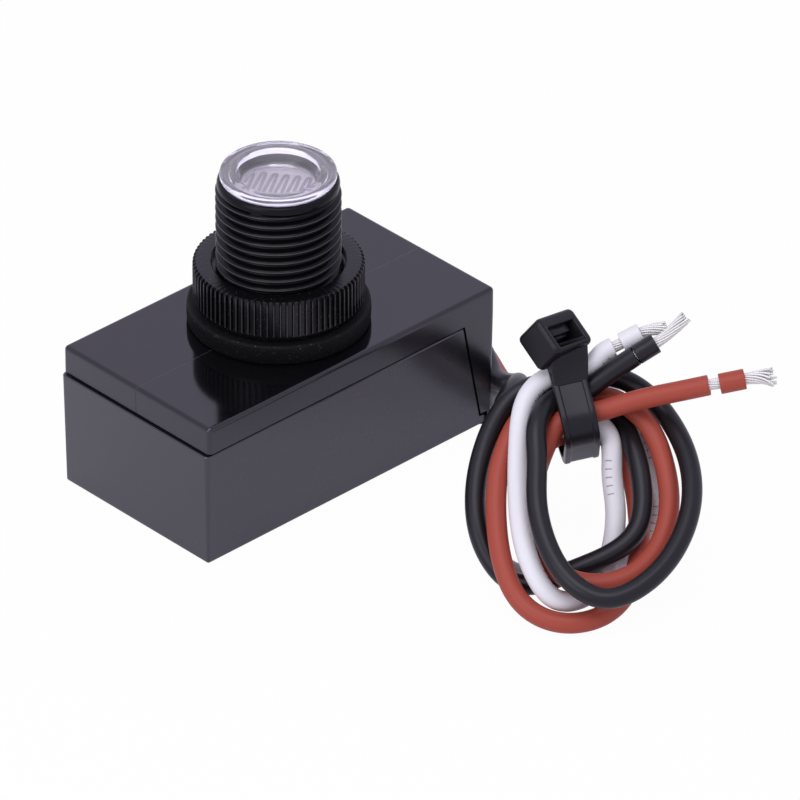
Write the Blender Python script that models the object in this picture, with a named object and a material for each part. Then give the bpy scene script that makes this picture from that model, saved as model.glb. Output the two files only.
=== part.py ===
"""Button photocell switch: a moulded box with a threaded stem, lock nut, lens, relay board and tied leads.

All driving sizes are in millimetres and are scaled to metres by MM. The origin is the middle of the
housing's underside, +X runs along the housing towards the end where the leads leave, +Z is up.
"""
from math import cos, floor, pi, radians, sin

import bmesh
import bpy
import numpy as np
from mathutils import Matrix, Vector

MM = 0.001

# Housing
LENGTH = 53.4
WIDTH = 29.3
HEIGHT = 21.5
WALL = 1.6
SKIRT_DEPTH = 4.3
PARTING_Z = HEIGHT - SKIRT_DEPTH
TRAY_PROUD = 0.45
DRAFT = 0.3
CORNER_R = 0.5
INNER_CORNER_R = 0.15
TOP_FILLET = 0.6
BASE_FILLET = 0.4
SEAM = 0.28
SEAM_TOP_INSET = 6.0
SEAM_TOP_X = LENGTH / 2 - SEAM_TOP_INSET
SEAM_FOOT_INSET = 2.6
SEAM_FOOT_X = LENGTH / 2 - SEAM_FOOT_INSET
SEAM_FOOT_Z = 1.5
TRAY_TOE_INSET = 1.4
TRAY_TOE_X = LENGTH / 2 - TRAY_TOE_INSET
FLOOR = 1.4
PLATE_SINK = 0.5

# Threaded stem: three-eighths straight pipe thread, 18 turns to the inch
THREAD_R = 8.55
THREAD_PITCH = 25.4 / 18
THREAD_DEPTH = 0.85
THREAD_RELIEF = 0.7
THREAD_START_Z = HEIGHT + THREAD_RELIEF
THREAD_LENGTH = 19.4
THREAD_END_Z = THREAD_START_Z + THREAD_LENGTH
STEM_SHOULDER = 1.2
STEM_TOP_Z = THREAD_END_Z + STEM_SHOULDER
STEM_SHOULDER_INSET = 0.2
STEM_SHOULDER_R = THREAD_R - STEM_SHOULDER_INSET
STEM_SHOULDER_ROUND = 0.6
STEM_WALL = 1.95
STEM_BORE_R = THREAD_R - STEM_WALL
THREAD_SIDES = 36

# Lens: a domed ring round a deep round recess, whose floor is the window over the cell
LENS_INSET = 0.6
LENS_R = THREAD_R - LENS_INSET
LENS_GAP = 0.3
LENS_RING = 1.6
LENS_EDGE = 0.4
LENS_BEAD = 2.32
LENS_DISH_R = LENS_R - LENS_BEAD
LENS_DISH_TAPER = 0.5
LENS_DISH_DEPTH = 1.9
LENS_WINDOW = 0.8
LENS_SKIRT_CLEARANCE = 0.3
LENS_SKIRT_R = STEM_BORE_R - LENS_SKIRT_CLEARANCE
LENS_SKIRT_DROP = 2.2
LENS_SKIRT_WALL = 0.7
LENS_FOOT_Z = STEM_TOP_Z + LENS_GAP
LENS_TOP_Z = LENS_FOOT_Z + LENS_RING
LENS_FLOOR_Z = LENS_TOP_Z - LENS_DISH_DEPTH

# Lock nut and sealing washer
SEAT_GAP = 0.3
WASHER_THICK = 2.4
WASHER_CLEARANCE = 0.4
WASHER_BORE_R = THREAD_R + WASHER_CLEARANCE
WASHER_WIDTH = 3.65
WASHER_R = WASHER_BORE_R + WASHER_WIDTH
WASHER_ROUND = 0.35
NUT_WALL = 3.15
NUT_R = THREAD_R + NUT_WALL
NUT_HEIGHT = 6.2
NUT_RIDGES = 82
NUT_RIDGE_DEPTH = 0.38
NUT_EDGE = 0.35
NUT_FOOT = 1.0
NUT_CLEARANCE = 0.3
NUT_COUNTERBORE_WIDTH = 0.55
NUT_COUNTERBORE_R = THREAD_R + NUT_COUNTERBORE_WIDTH
NUT_COUNTERBORE_DEPTH = 0.9
NUT_LEAD_IN = 0.5

# Circuit board and what stands on it
BOARD_NEAR_INSET = 2.7
BOARD_FAR_INSET = 4.1
BOARD_SIDE_INSET = 2.35
BOARD_LENGTH = LENGTH - BOARD_NEAR_INSET - BOARD_FAR_INSET
BOARD_WIDTH = WIDTH - 2 * BOARD_SIDE_INSET
BOARD_THICK = 1.6
BOARD_Z = 3.1
BOARD_TOP = BOARD_Z + BOARD_THICK
BOARD_END_X = LENGTH / 2 - BOARD_FAR_INSET
HEADROOM = HEIGHT - WALL - BOARD_TOP
POST_R = 1.6
POST_END_INSET = 7.2
POST_SIDE_INSET = 5.85
POST_X = LENGTH / 2 - POST_END_INSET
POST_Y = WIDTH / 2 - POST_SIDE_INSET
LEG_R = 0.3

# The parts on the board are laid out on a board of this length and width with this headroom, and keep
# their shares of the real one
LAYOUT = (46.6, 24.6, 15.2)

# Light cell
CELL_SIDE_GAP = 0.6
CELL_R = LENS_SKIRT_R - LENS_SKIRT_WALL - CELL_SIDE_GAP
CELL_THICK = 2.2
CELL_GAP = 0.3
CELL_Z = LENS_FLOOR_Z - LENS_WINDOW - CELL_GAP - CELL_THICK
CELL_PITCH = 6.0

# Leads
LEAD_D = 2.8
LEAD_HOLE_CLEARANCE = 0.3
LEAD_Z = 6.5
LEAD_Y = {"black": 0.9, "white": -3.6, "red": 5.4}
LEAD_POINTS = 74
BEND_WEIGHT = 2.5
COPPER_R = 0.75
STRAND_GROOVE = 0.14
STRAND_TWIST = 0.55
SLUG_CLEARANCE = 0.3
CUT_GAP = 0.3

# Hank: the leads' loops lean back from the floor in one plane, held by the tie
TIE_BEHIND_END = 11.8
TIE_AT = (LENGTH / 2 - TIE_BEHIND_END, -41.4, 20.5)
HANK_TURN = -42.7
HANK_LEAN = 38.0
BUNDLE_TILT = 13.0
BUNDLE_PITCH = 3.15
STRAIGHT_HALF = 1.6

# Cable tie: a strap round the bundle, its head standing on the side away from the floor
TIE_WIDTH = 4.8
TIE_THICK = 1.05
TIE_CLEARANCE = 0.35
TIE_SAG = 1.3
TIE_BACK = 1.0
TIE_CORNER = 1.8
TIE_SAG_CORNER = 2.9
TIE_HEAD_ACROSS = 7.6
TIE_HEAD_DOWN = 5.7
TIE_HEAD_THICK = 4.9
TIE_HEAD_AT = (-2.07, 6.61, 6.4)
TIE_HEAD_WIDE = (0.982, 0.084, -0.199)
TIE_HEAD_DEEP = (-0.038, -0.833, -0.549)
TIE_HEAD_EDGE = 0.6
TIE_NECK_FOOT = 0.6
TIE_NECK_SINK = 1.2
TIE_NECK_STEPS = 5
TIE_SLOT = (5.4, 3.2)
TIE_SLOT_SHIFT = 0.5
TIE_PAWL = (3.6, 1.1, 1.6)

# Each lead's way: out of the end wall to the floor in millimetres, x from the end wall's face, then as
# (u, v, w) from the tie's middle: up to the tie, three times through it with a turn of the hank between,
# and its bare end
ROUTES = {
    "black": {
        "exit": [(-4.7, 0.9, 6.5), (-0.7, 0.9, 6.5), (1.7, 0.8, 6.5), (4.7, -1.6, 6.4), (5.5, -5.6, 5.9),
                 (3.9, -9.4, 5.1), (2.25, -12.8, 4.9), (1.1, -17.2, 6.6), (-3.9, -22.8, 11.0)],
        "near": [(-8.6, 4.6, -14.6), (-8.2, 1.2, -10.4), (-5.9, -0.5, -5.9)],
        "slots": [(0, -1), (1, 0), (0, 1)],
        "turns": [
            [(5.6, -0.6, -2.6), (8.5, -6.6, -0.1), (9.5, -14.1, 0.3), (8.3, -18.7, 0.0),
             (4.5, -21.6, -0.8), (-0.3, -23.4, -1.8), (-4.5, -24.8, -2.6), (-8.0, -24.3, -3.1),
             (-10.8, -21.4, -3.0), (-12.5, -17.2, -2.4), (-12.8, -11.7, -2.0), (-11.7, -6.2, -1.5),
             (-9.4, -1.2, -0.6), (-6.1, 1.9, 0.0)],
            [(5.4, 3.9, -0.6), (9.6, 2.0, -0.8), (13.2, -2.6, 0.2), (15.6, -9.0, 2.0), (15.8, -15.9, 3.5),
             (13.5, -22.5, 4.5), (9.4, -27.4, 5.2), (4.1, -29.6, 5.5), (-0.4, -27.2, 5.4),
             (-3.5, -21.8, 4.8), (-4.8, -15.3, 4.6), (-4.7, -9.4, 5.0), (-4.6, -4.8, 4.9)],
        ],
        "tail": [(3.9, 1.7, 3.9), (6.2, 3.1, 4.9), (8.7, 4.5, 5.9)],
        "core": [(9.0, 4.7, 6.0), (11.4, 6.0, 6.6), (13.5, 7.5, 7.2), (15.5, 9.3, 8.0)],
    },
    "white": {
        "exit": [(-4.7, -3.6, 6.5), (-1.1, -3.6, 6.5), (0.8, -3.8, 6.3), (2.7, -5.4, 4.6),
                 (2.8, -8.4, 2.4), (2.3, -12.2, 1.5), (1.3, -16.4, 1.5), (-0.7, -20.0, 2.9),
                 (-3.9, -23.6, 5.8)],
        "near": [(-5.75, 3.8, -15.5), (-5.7, 2.9, -9.0), (-4.6, 2.3, -5.6)],
        "slots": [(1, -1), (-1, 0), (1, 1)],
        "turns": [
            [(4.9, 2.6, -4.2), (8.8, -0.4, -4.2), (11.4, -5.8, -4.4), (12.0, -12.8, -5.0),
             (10.4, -18.0, -6.2), (6.4, -20.6, -6.4), (1.2, -21.4, -6.6), (-4.0, -22.6, -6.2),
             (-8.4, -21.6, -6.2), (-11.4, -17.6, -5.7), (-12.6, -11.4, -5.2), (-11.8, -7.0, -4.9),
             (-9.7, -3.8, -4.4), (-6.2, -3.2, -3.3)],
            [(4.95, -4.4, -0.3), (5.5, -9.4, -1.6), (5.9, -13.8, -2.4), (5.5, -19.0, -3.3),
             (3.8, -23.8, -3.7), (0.9, -27.4, -1.2), (-2.6, -28.0, 0.9), (-5.8, -23.2, 1.9),
             (-7.0, -17.1, 1.5), (-7.2, -12.1, 1.2), (-7.0, -6.2, 2.3), (-5.6, 0.0, 3.1)],
        ],
        "tail": [(3.1, 4.35, 3.35), (4.3, 5.5, 3.8), (5.8, 6.3, 4.1)],
        "core": [(6.9, 6.8, 4.4), (9.5, 8.0, 5.0), (11.3, 8.4, 5.4), (13.2, 8.5, 5.8)],
    },
    "red": {
        "exit": [(-4.7, 5.4, 6.5), (-0.7, 5.4, 6.5), (1.9, 5.3, 6.4), (7.3, 1.6, 4.6), (8.5, -4.0, 1.9),
                 (6.5, -8.8, 1.45), (5.1, -13.2, 1.6), (3.1, -18.6, 3.7)],
        "near": [(-3.3, 6.6, -20.5), (-2.9, 2.0, -14.0), (-4.4, -1.8, -9.6), (-4.6, -3.6, -7.0)],
        "slots": [(-1, -1), (0, 0), (-1, 1)],
        "turns": [
            [(5.6, -4.4, -3.6), (8.3, -9.7, -3.9), (9.0, -15.2, -3.2), (9.0, -20.6, -3.0),
             (7.6, -25.6, -1.8), (4.2, -30.0, 0.0), (-1.5, -31.3, 0.4), (-6.7, -28.5, 0.0),
             (-9.3, -23.0, 0.1), (-10.1, -16.7, 0.0), (-9.8, -10.3, -0.2), (-8.4, -5.4, -0.4),
             (-5.8, -1.6, -0.2)],
            [(5.2, 0.4, 0.3), (10.0, -3.2, 0.9), (12.4, -9.0, 0.8), (13.0, -15.0, 0.9),
             (11.2, -21.4, 1.4), (7.3, -25.4, 2.0), (2.9, -26.4, 2.1), (-1.1, -25.2, 1.6),
             (-3.6, -21.6, 0.0), (-5.0, -16.1, -1.6), (-5.0, -11.3, -1.2), (-3.7, -7.4, 1.2)],
        ],
        "tail": [(5.4, -2.2, 3.9), (9.4, -1.4, 5.0), (14.5, -0.6, 5.9), (18.4, 0.0, 6.6)],
        "core": [(19.8, 0.1, 6.7), (23.2, 0.7, 7.0), (25.4, 0.9, 7.2), (27.4, 0.8, 7.5)],
    },
}


def clear_scene():
    for thing in list(bpy.data.objects):
        bpy.data.objects.remove(thing, do_unlink=True)


def material(name, colour, roughness, metallic=0.0, transmission=0.0):
    """A Principled material of one colour."""
    made = bpy.data.materials.get(name) or bpy.data.materials.new(name)
    made.use_nodes = True
    shader = made.node_tree.nodes["Principled BSDF"]
    shader.inputs["Base Color"].default_value = (*colour, 1.0)
    shader.inputs["Roughness"].default_value = roughness
    shader.inputs["Metallic"].default_value = metallic
    shader.inputs["Transmission Weight"].default_value = transmission
    made.diffuse_color = (*colour, 1.0)
    return made


def finishes():
    """The part's finishes, by plain names."""
    return {
        "gloss_black": material("gloss_black", (0.016, 0.016, 0.019), 0.18),
        "satin_black": material("satin_black", (0.013, 0.013, 0.014), 0.38),
        "rubber": material("rubber", (0.012, 0.012, 0.012), 0.6),
        "clear": material("clear", (0.93, 0.92, 0.95), 0.03, transmission=1.0),
        "ceramic": material("ceramic", (0.62, 0.58, 0.62), 0.4),
        "board": material("board", (0.05, 0.16, 0.07), 0.5),
        "relay_blue": material("relay_blue", (0.03, 0.11, 0.35), 0.35),
        "film_red": material("film_red", (0.42, 0.09, 0.04), 0.35),
        "sleeve": material("sleeve", (0.02, 0.02, 0.03), 0.35),
        "disc_blue": material("disc_blue", (0.05, 0.14, 0.36), 0.4),
        "resistor_tan": material("resistor_tan", (0.55, 0.42, 0.27), 0.45),
        "lead_black": material("lead_black", (0.016, 0.016, 0.019), 0.42),
        "lead_white": material("lead_white", (0.66, 0.63, 0.74), 0.42),
        "lead_red": material("lead_red", (0.38, 0.06, 0.04), 0.45),
        "tinned": material("tinned", (0.66, 0.66, 0.66), 0.3, 1.0),
    }


def add_object(name, mesh, finish, smooth_angle=30.0):
    """Puts a mesh into the scene under its node name, shaded smooth between sharp edges."""
    mesh.validate()
    mesh.materials.clear()
    mesh.materials.append(finish)
    mesh.shade_smooth()
    mesh.set_sharp_from_angle(angle=radians(smooth_angle))
    thing = bpy.data.objects.new(name, mesh)
    bpy.context.scene.collection.objects.link(thing)
    return thing


def mesh_from(name, points, faces):
    """A mesh from points in millimetres, with doubles merged and normals turned outwards."""
    mesh = bpy.data.meshes.new(name)
    mesh.from_pydata([Vector(p) * MM for p in points], [], faces)
    work = bmesh.new()
    work.from_mesh(mesh)
    bmesh.ops.remove_doubles(work, verts=work.verts, dist=1e-7)
    bmesh.ops.dissolve_degenerate(work, edges=work.edges, dist=1e-7)
    bmesh.ops.recalc_face_normals(work, faces=work.faces)
    work.to_mesh(mesh)
    work.free()
    return mesh


def combine(mesh, others, operation):
    """Applies Boolean steps with each of the other meshes and returns the evaluated result."""
    base = bpy.data.objects.new("combine_base", mesh)
    bpy.context.scene.collection.objects.link(base)
    tools = []
    for other in others:
        tool = bpy.data.objects.new("combine_tool", other)
        tool.hide_render = True
        tool.display_type = "WIRE"
        bpy.context.scene.collection.objects.link(tool)
        tools.append(tool)
        step = base.modifiers.new("step", "BOOLEAN")
        step.operation = operation
        step.solver = "EXACT"
        step.object = tool
    bpy.context.view_layer.update()
    evaluated = base.evaluated_get(bpy.context.evaluated_depsgraph_get())
    result = bpy.data.meshes.new_from_object(evaluated)
    for thing in [base, *tools]:
        bpy.data.objects.remove(thing, do_unlink=True)
    return result


def cut(mesh, *others):
    return combine(mesh, others, "DIFFERENCE")


def join(mesh, *others):
    return combine(mesh, others, "UNION")


def keep(mesh, *others):
    return combine(mesh, others, "INTERSECT")


def loft(sections):
    """A closed solid through rings of equal point counts, with both end rings capped."""
    count = len(sections[0])
    points = [p for ring in sections for p in ring]
    faces = []
    for k in range(len(sections) - 1):
        low = k * count
        high = low + count
        for i in range(count):
            j = (i + 1) % count
            faces.append((low + i, low + j, high + j, high + i))
    faces.append(tuple(range(count))[::-1])
    faces.append(tuple(range(len(points) - count, len(points))))
    return mesh_from("loft", points, faces)


def rectangle(x0, x1, y0, y1, radius, z, steps=3):
    """A rectangle's outline at one height, with its corners rounded."""
    corners = [(x1 - radius, y1 - radius, 0), (x0 + radius, y1 - radius, 90),
               (x0 + radius, y0 + radius, 180), (x1 - radius, y0 + radius, 270)]
    ring = []
    for cx, cy, start in corners:
        for k in range(steps + 1):
            angle = radians(start + 90 * k / steps) if steps else 0.0
            ring.append((cx + radius * cos(angle), cy + radius * sin(angle), z))
    return ring


def circle(radius, z, sides, x=0.0, y=0.0):
    return [(x + radius * cos(2 * pi * k / sides), y + radius * sin(2 * pi * k / sides), z)
            for k in range(sides)]


def cylinder(radius, z0, z1, sides=24, x=0.0, y=0.0):
    return loft([circle(radius, z0, sides, x, y), circle(radius, z1, sides, x, y)])


def block(x0, x1, y0, y1, z0, z1):
    return loft([rectangle(x0, x1, y0, y1, 0.0, z, steps=0) for z in (z0, z1)])


def turned(profile, sides, x=0.0, y=0.0):
    """A ring or disc turned about Z from a closed outline of (radius, z) points."""
    count = len(profile)
    points = []
    for k in range(sides):
        angle = 2 * pi * k / sides
        points += [(x + r * cos(angle), y + r * sin(angle), z) for r, z in profile]
    faces = []
    for k in range(sides):
        here = k * count
        there = ((k + 1) % sides) * count
        for i in range(count):
            j = (i + 1) % count
            faces.append((here + i, there + i, there + j, here + j))
    return mesh_from("turned", points, faces)


def extruded(outline, y0, y1):
    """A solid from an outline in the XZ plane, extruded along Y."""
    return loft([[(x, y, z) for x, z in outline] for y in (y0, y1)])


def swept(path, radii, sides=8, turn=None):
    """A round bar of varying radius along a path; its ring directions are carried along the bends."""
    path = [np.array(p, float) for p in path]
    tangents = [path[min(i + 1, len(path) - 1)] - path[max(i - 1, 0)] for i in range(len(path))]
    tangents = [t / np.linalg.norm(t) for t in tangents]
    side = np.cross(tangents[0], (0.0, 0.0, 1.0))
    if np.linalg.norm(side) < 0.1:
        side = np.cross(tangents[0], (0.0, 1.0, 0.0))
    rings = []
    for i, (point, tangent) in enumerate(zip(path, tangents)):
        side = side - tangent * side.dot(tangent)
        side /= np.linalg.norm(side)
        up = np.cross(tangent, side)
        offset = turn[i] if turn else 0.0
        ring = []
        for k in range(sides):
            angle = 2 * pi * k / sides + offset
            radius = radii[i][k] if np.ndim(radii[i]) else radii[i]
            ring.append(tuple(point + radius * (cos(angle) * side + sin(angle) * up)))
        rings.append(ring)
    return loft(rings)


def housing_shell(x_low, inset, z_low, z_high, base_fillet, top_fillet, steps=3):
    """The housing's block with drafted lower walls and rounded edges, moved in by an inset."""
    heights = []
    for k in range(steps + 1):
        angle = pi / 2 * k / steps
        heights.append((z_low + base_fillet * (1 - sin(angle)), base_fillet * (1 - cos(angle))))
    heights = heights[::-1] if base_fillet else [(z_low, 0.0)]
    if z_low < PARTING_Z < z_high:
        heights.append((PARTING_Z, 0.0))
    for k in range(steps + 1 if top_fillet else 1):
        angle = pi / 2 * k / steps
        heights.append((z_high - top_fillet * (1 - sin(angle)), top_fillet * (1 - cos(angle))))
    sections = []
    for z, pull in heights:
        draft = DRAFT * max(0.0, 1 - z / PARTING_Z)
        back = inset + pull + draft
        radius = max(INNER_CORNER_R, CORNER_R - inset)
        half_width = WIDTH / 2 - back
        sections.append(rectangle(x_low + back, LENGTH / 2 - back, -half_width, half_width, radius, z))
    return loft(sections)


def cover_side(gap):
    """The side outline of the region above the seam; the gap moves the seam up and towards the end."""
    far = LENGTH
    foot = SEAM_FOOT_Z + gap
    top = PARTING_Z + gap
    return [(-far, top), (SEAM_TOP_X + gap, top), (SEAM_FOOT_X + gap, foot), (TRAY_TOE_X + gap, foot),
            (TRAY_TOE_X + gap, -far), (far, -far), (far, far), (-far, far)]


def tray_side():
    """The side outline of the region below the seam."""
    far = LENGTH
    return [(-far, PARTING_Z), (SEAM_TOP_X, PARTING_Z), (SEAM_FOOT_X, SEAM_FOOT_Z),
            (TRAY_TOE_X, SEAM_FOOT_Z), (TRAY_TOE_X, -far), (-far, -far)]


def threaded_rod(growth, z_low, z_high, thread_low, thread_high, tip_r):
    """A rod with a helical ridge: rows of points follow the helix and are held within the thread's ends."""
    crest = THREAD_R + growth
    root = crest - THREAD_DEPTH
    # every thread of the part keeps one phase, so that a nut's ridges lie in the stem's valleys
    first = THREAD_START_Z + THREAD_PITCH * floor((thread_low - THREAD_START_Z) / THREAD_PITCH)
    rows = int(2 * (thread_high - first) / THREAD_PITCH) + 6
    points = []
    for j in range(rows):
        for k in range(THREAD_SIDES + 1):
            turn = k / THREAD_SIDES
            z = first + THREAD_PITCH * (j / 2 - 2 + turn)
            held = min(max(z, thread_low), thread_high)
            radius = crest if j % 2 and held == z else root
            angle = 2 * pi * turn
            points.append((radius * cos(angle), radius * sin(angle), held))
    wide = THREAD_SIDES + 1
    faces = []
    for j in range(rows - 1):
        for k in range(THREAD_SIDES):
            faces.append((j * wide + k, j * wide + k + 1, (j + 1) * wide + k + 1, (j + 1) * wide + k))
    # the last column of row j is the first column of row j + 2
    stitched = []
    for face in faces:
        ring = []
        for index in face:
            j, k = divmod(index, wide)
            if k == THREAD_SIDES and j + 2 < rows:
                index = (j + 2) * wide
            if not ring or index != ring[-1]:
                ring.append(index)
        stitched.append(tuple(ring))
    low_ring = [(root * cos(2 * pi * k / THREAD_SIDES), root * sin(2 * pi * k / THREAD_SIDES), thread_low)
                for k in range(THREAD_SIDES)]
    high_ring = [(x, y, thread_high) for x, y, _ in low_ring]
    foot = circle(root, z_low, THREAD_SIDES)
    head = circle(tip_r, z_high - STEM_SHOULDER_ROUND, THREAD_SIDES) if tip_r else None
    base = len(points)
    points += low_ring + high_ring + foot
    count = THREAD_SIDES
    for k in range(count):
        j = (k + 1) % count
        stitched.append((base + 2 * count + k, base + 2 * count + j, base + j, base + k))
    stitched.append(tuple(range(base + 2 * count, base + 3 * count))[::-1])
    upper = []
    if head:
        upper.append(circle(tip_r, thread_high + (tip_r - root) * 0.6, count))
        upper.append(head)
        for k in (1, 2):
            angle = pi / 4 * k
            upper.append(circle(tip_r - STEM_SHOULDER_ROUND * (1 - cos(angle)),
                                z_high - STEM_SHOULDER_ROUND * (1 - sin(angle)), count))
    else:
        upper.append(circle(root, z_high, count))
    start = base + count
    for ring in upper:
        at = len(points)
        points += ring
        for k in range(count):
            j = (k + 1) % count
            stitched.append((start + k, start + j, at + j, at + k))
        start = at
    stitched.append(tuple(range(start, start + count)))
    return mesh_from("threaded_rod", points, stitched)


def bar_along_x(radius, x0, x1, y, z, sides=20):
    ring = [(radius * cos(2 * pi * k / sides), radius * sin(2 * pi * k / sides)) for k in range(sides)]
    return loft([[(x, y + a, z + b) for a, b in ring] for x in (x0, x1)])


def housing_cover():
    """The upper moulding: top plate, skirt, end wall with slanted cheeks, and the hollow threaded stem."""
    x_low = -LENGTH / 2 + TRAY_PROUD
    shell = housing_shell(x_low, 0.0, 0.0, HEIGHT, BASE_FILLET, TOP_FILLET)
    shell = keep(shell, extruded(cover_side(SEAM), -WIDTH, WIDTH))
    stem = threaded_rod(0.0, HEIGHT - PLATE_SINK, STEM_TOP_Z, THREAD_START_Z, THREAD_END_Z, STEM_SHOULDER_R)
    shell = join(shell, stem)
    hollow = housing_shell(x_low, WALL, -HEIGHT, HEIGHT - WALL, 0.0, 0.0)
    bore = cylinder(STEM_BORE_R, HEIGHT - 2 * WALL, STEM_TOP_Z + WALL, THREAD_SIDES)
    hole_r = LEAD_D / 2 + LEAD_HOLE_CLEARANCE
    end = LENGTH / 2
    holes = [bar_along_x(hole_r, end - 2 * WALL, end + WALL, y, LEAD_Z) for y in LEAD_Y.values()]
    return cut(shell, hollow, bore, *holes)


def housing_tray():
    """The lower moulding: floor, three walls with slanted ends, and the posts that carry the board."""
    x_low = -LENGTH / 2
    walls = housing_shell(x_low, 0.0, 0.0, HEIGHT, BASE_FILLET, 0.0)
    shell = keep(walls, extruded(tray_side(), -WIDTH, WIDTH))
    hollow = housing_shell(x_low, WALL, FLOOR, 2 * HEIGHT, 0.0, 0.0)
    inner_y = WIDTH / 2 - WALL - DRAFT
    shell = cut(shell, hollow, block(SEAM_TOP_X - WALL, LENGTH, -inner_y, inner_y, FLOOR, HEIGHT))
    posts = [cylinder(POST_R, FLOOR / 2, BOARD_Z - SEAT_GAP, 16, x, y)
             for x in (-POST_X, POST_X) for y in (-POST_Y, POST_Y)]
    return join(shell, *posts)


def lens():
    """The clear cap: a domed ring on the stem's rim, a tapered recess, its window and a skirt in the bore."""
    window = LENS_FLOOR_Z - LENS_WINDOW
    skirt_in = LENS_SKIRT_R - LENS_SKIRT_WALL
    skirt_foot = LENS_FOOT_Z - LENS_SKIRT_DROP
    ring = LENS_TOP_Z - LENS_FOOT_Z
    inset_and_rise = [(2.2, 1.0), (1.5, 0.97), (0.85, 0.88), (0.35, 0.72), (0.06, 0.5), (0.0, 0.36)]
    dome = [(LENS_R - inset, LENS_FOOT_Z + rise * ring) for inset, rise in inset_and_rise]
    profile = [(0.0, LENS_FLOOR_Z), (LENS_DISH_R - LENS_DISH_TAPER, LENS_FLOOR_Z),
               (LENS_DISH_R, LENS_TOP_Z - 0.05)]
    profile += dome
    profile += [(LENS_R - 0.08, LENS_FOOT_Z + LENS_EDGE / 3), (LENS_R - LENS_EDGE, LENS_FOOT_Z),
                (LENS_SKIRT_R, LENS_FOOT_Z), (LENS_SKIRT_R, skirt_foot), (skirt_in, skirt_foot),
                (skirt_in, window), (0.0, window)]
    return turned(profile[::-1], 40)


def light_cell():
    """The light cell: a thin potted ceramic disc."""
    edge = 0.2
    profile = [(0.0, CELL_Z), (CELL_R, CELL_Z), (CELL_R, CELL_Z + CELL_THICK - edge),
               (CELL_R - edge, CELL_Z + CELL_THICK), (0.0, CELL_Z + CELL_THICK)]
    return turned(profile, 32)


def sealing_washer():
    """The flat rubber ring under the nut, with rounded outer edges."""
    low = HEIGHT + SEAT_GAP
    high = low + WASHER_THICK
    profile = [(WASHER_BORE_R, low), (WASHER_R - WASHER_ROUND, low), (WASHER_R, low + WASHER_ROUND),
               (WASHER_R, high - WASHER_ROUND), (WASHER_R - WASHER_ROUND, high), (WASHER_BORE_R, high)]
    return turned(profile, 48)


def lock_nut():
    """The knurled ring nut: ridges over a plain foot, a counterbore on top and a helical thread inside."""
    low = HEIGHT + 2 * SEAT_GAP + WASHER_THICK
    high = low + NUT_HEIGHT

    def ridged(radius, depth, z):
        ring = []
        for k in range(2 * NUT_RIDGES):
            angle = pi * k / NUT_RIDGES
            r = radius - (depth if k % 2 else 0.0)
            ring.append((r * cos(angle), r * sin(angle), z))
        return ring

    valley = NUT_R - NUT_RIDGE_DEPTH
    body = loft([ridged(valley, 0.0, low), ridged(valley, 0.0, low + NUT_FOOT),
                 ridged(NUT_R, NUT_RIDGE_DEPTH, low + NUT_FOOT + NUT_EDGE),
                 ridged(NUT_R, NUT_RIDGE_DEPTH, high - NUT_EDGE), ridged(valley, 0.0, high)])
    past = THREAD_PITCH
    thread = threaded_rod(NUT_CLEARANCE, low - 2 * past, high + 2 * past, low - past, high + past, None)
    open_ends = [cylinder(NUT_COUNTERBORE_R, high - NUT_COUNTERBORE_DEPTH, high + 2, THREAD_SIDES),
                 cylinder(THREAD_R + NUT_CLEARANCE, low - 2, low + NUT_LEAD_IN, THREAD_SIDES)]
    return cut(body, thread, *open_ends)


def circuit_board():
    x0 = BOARD_END_X - BOARD_LENGTH
    return loft([rectangle(x0, BOARD_END_X, -BOARD_WIDTH / 2, BOARD_WIDTH / 2, 1.0, z, 2)
                 for z in (BOARD_Z, BOARD_Z + BOARD_THICK)])


def boxed(x0, x1, y0, y1, height, radius=0.5):
    """A moulded case standing on the board, with rounded upright edges and a small top edge."""
    low = BOARD_TOP + SEAT_GAP
    edge = 0.25
    return loft([rectangle(x0, x1, y0, y1, radius, low, 2),
                 rectangle(x0, x1, y0, y1, radius, low + height - edge, 2),
                 rectangle(x0 + edge, x1 - edge, y0 + edge, y1 - edge, radius, low + height, 2)])


def axial(x, y, span, body_length, body_r):
    """An axial part in one sweep: its legs rise from the board, bend, and run into a rounded body along X."""
    low = BOARD_TOP + SEAT_GAP
    mid = low + body_r + 0.2
    half = span / 2
    bend = 0.5
    side = [(half, low), (half, mid - bend), (half - 0.15, mid - 0.15), (half - bend, mid),
            (body_length / 2, mid), (body_length / 2, mid), (body_length / 2 - 0.3, mid)]
    radii = [LEG_R, LEG_R, LEG_R, LEG_R, LEG_R, body_r - 0.3, body_r]
    path = [(x + px, y, pz) for px, pz in side] + [(x - px, y, pz) for px, pz in side[::-1]]
    nudge = 0.02
    path[5] = (path[5][0] - nudge, y, mid)
    path[8] = (path[8][0] + nudge, y, mid)
    return swept(path, radii + radii[::-1], 8)


def electrolytic(x, y, radius, height):
    """An upright can with its crimp groove near the foot."""
    low = BOARD_TOP + SEAT_GAP
    top = low + height
    profile = [(0.0, low), (radius, low), (radius, low + 1.4), (radius - 0.35, low + 1.8),
               (radius, low + 2.2), (radius, top - 0.4), (radius - 0.4, top), (0.0, top)]
    return turned(profile, 24, x, y)


def varistor(x, y, radius, thick, rise):
    """A coated disc standing on two legs."""
    low = BOARD_TOP + SEAT_GAP
    centre = low + rise + radius
    count = 24
    sections = []
    angles = [2 * pi * k / count for k in range(count)]
    for offset, r in ((-0.5, radius - 0.5), (-0.28, radius), (0.28, radius), (0.5, radius - 0.5)):
        sections.append([(x + r * cos(a), y + offset * thick, centre + r * sin(a)) for a in angles])
    legs = [cylinder(LEG_R, low, centre - 0.5 * radius, 8, x + dx, y) for dx in (-2.5, 2.5)]
    return join(loft(sections), *legs)


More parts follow.
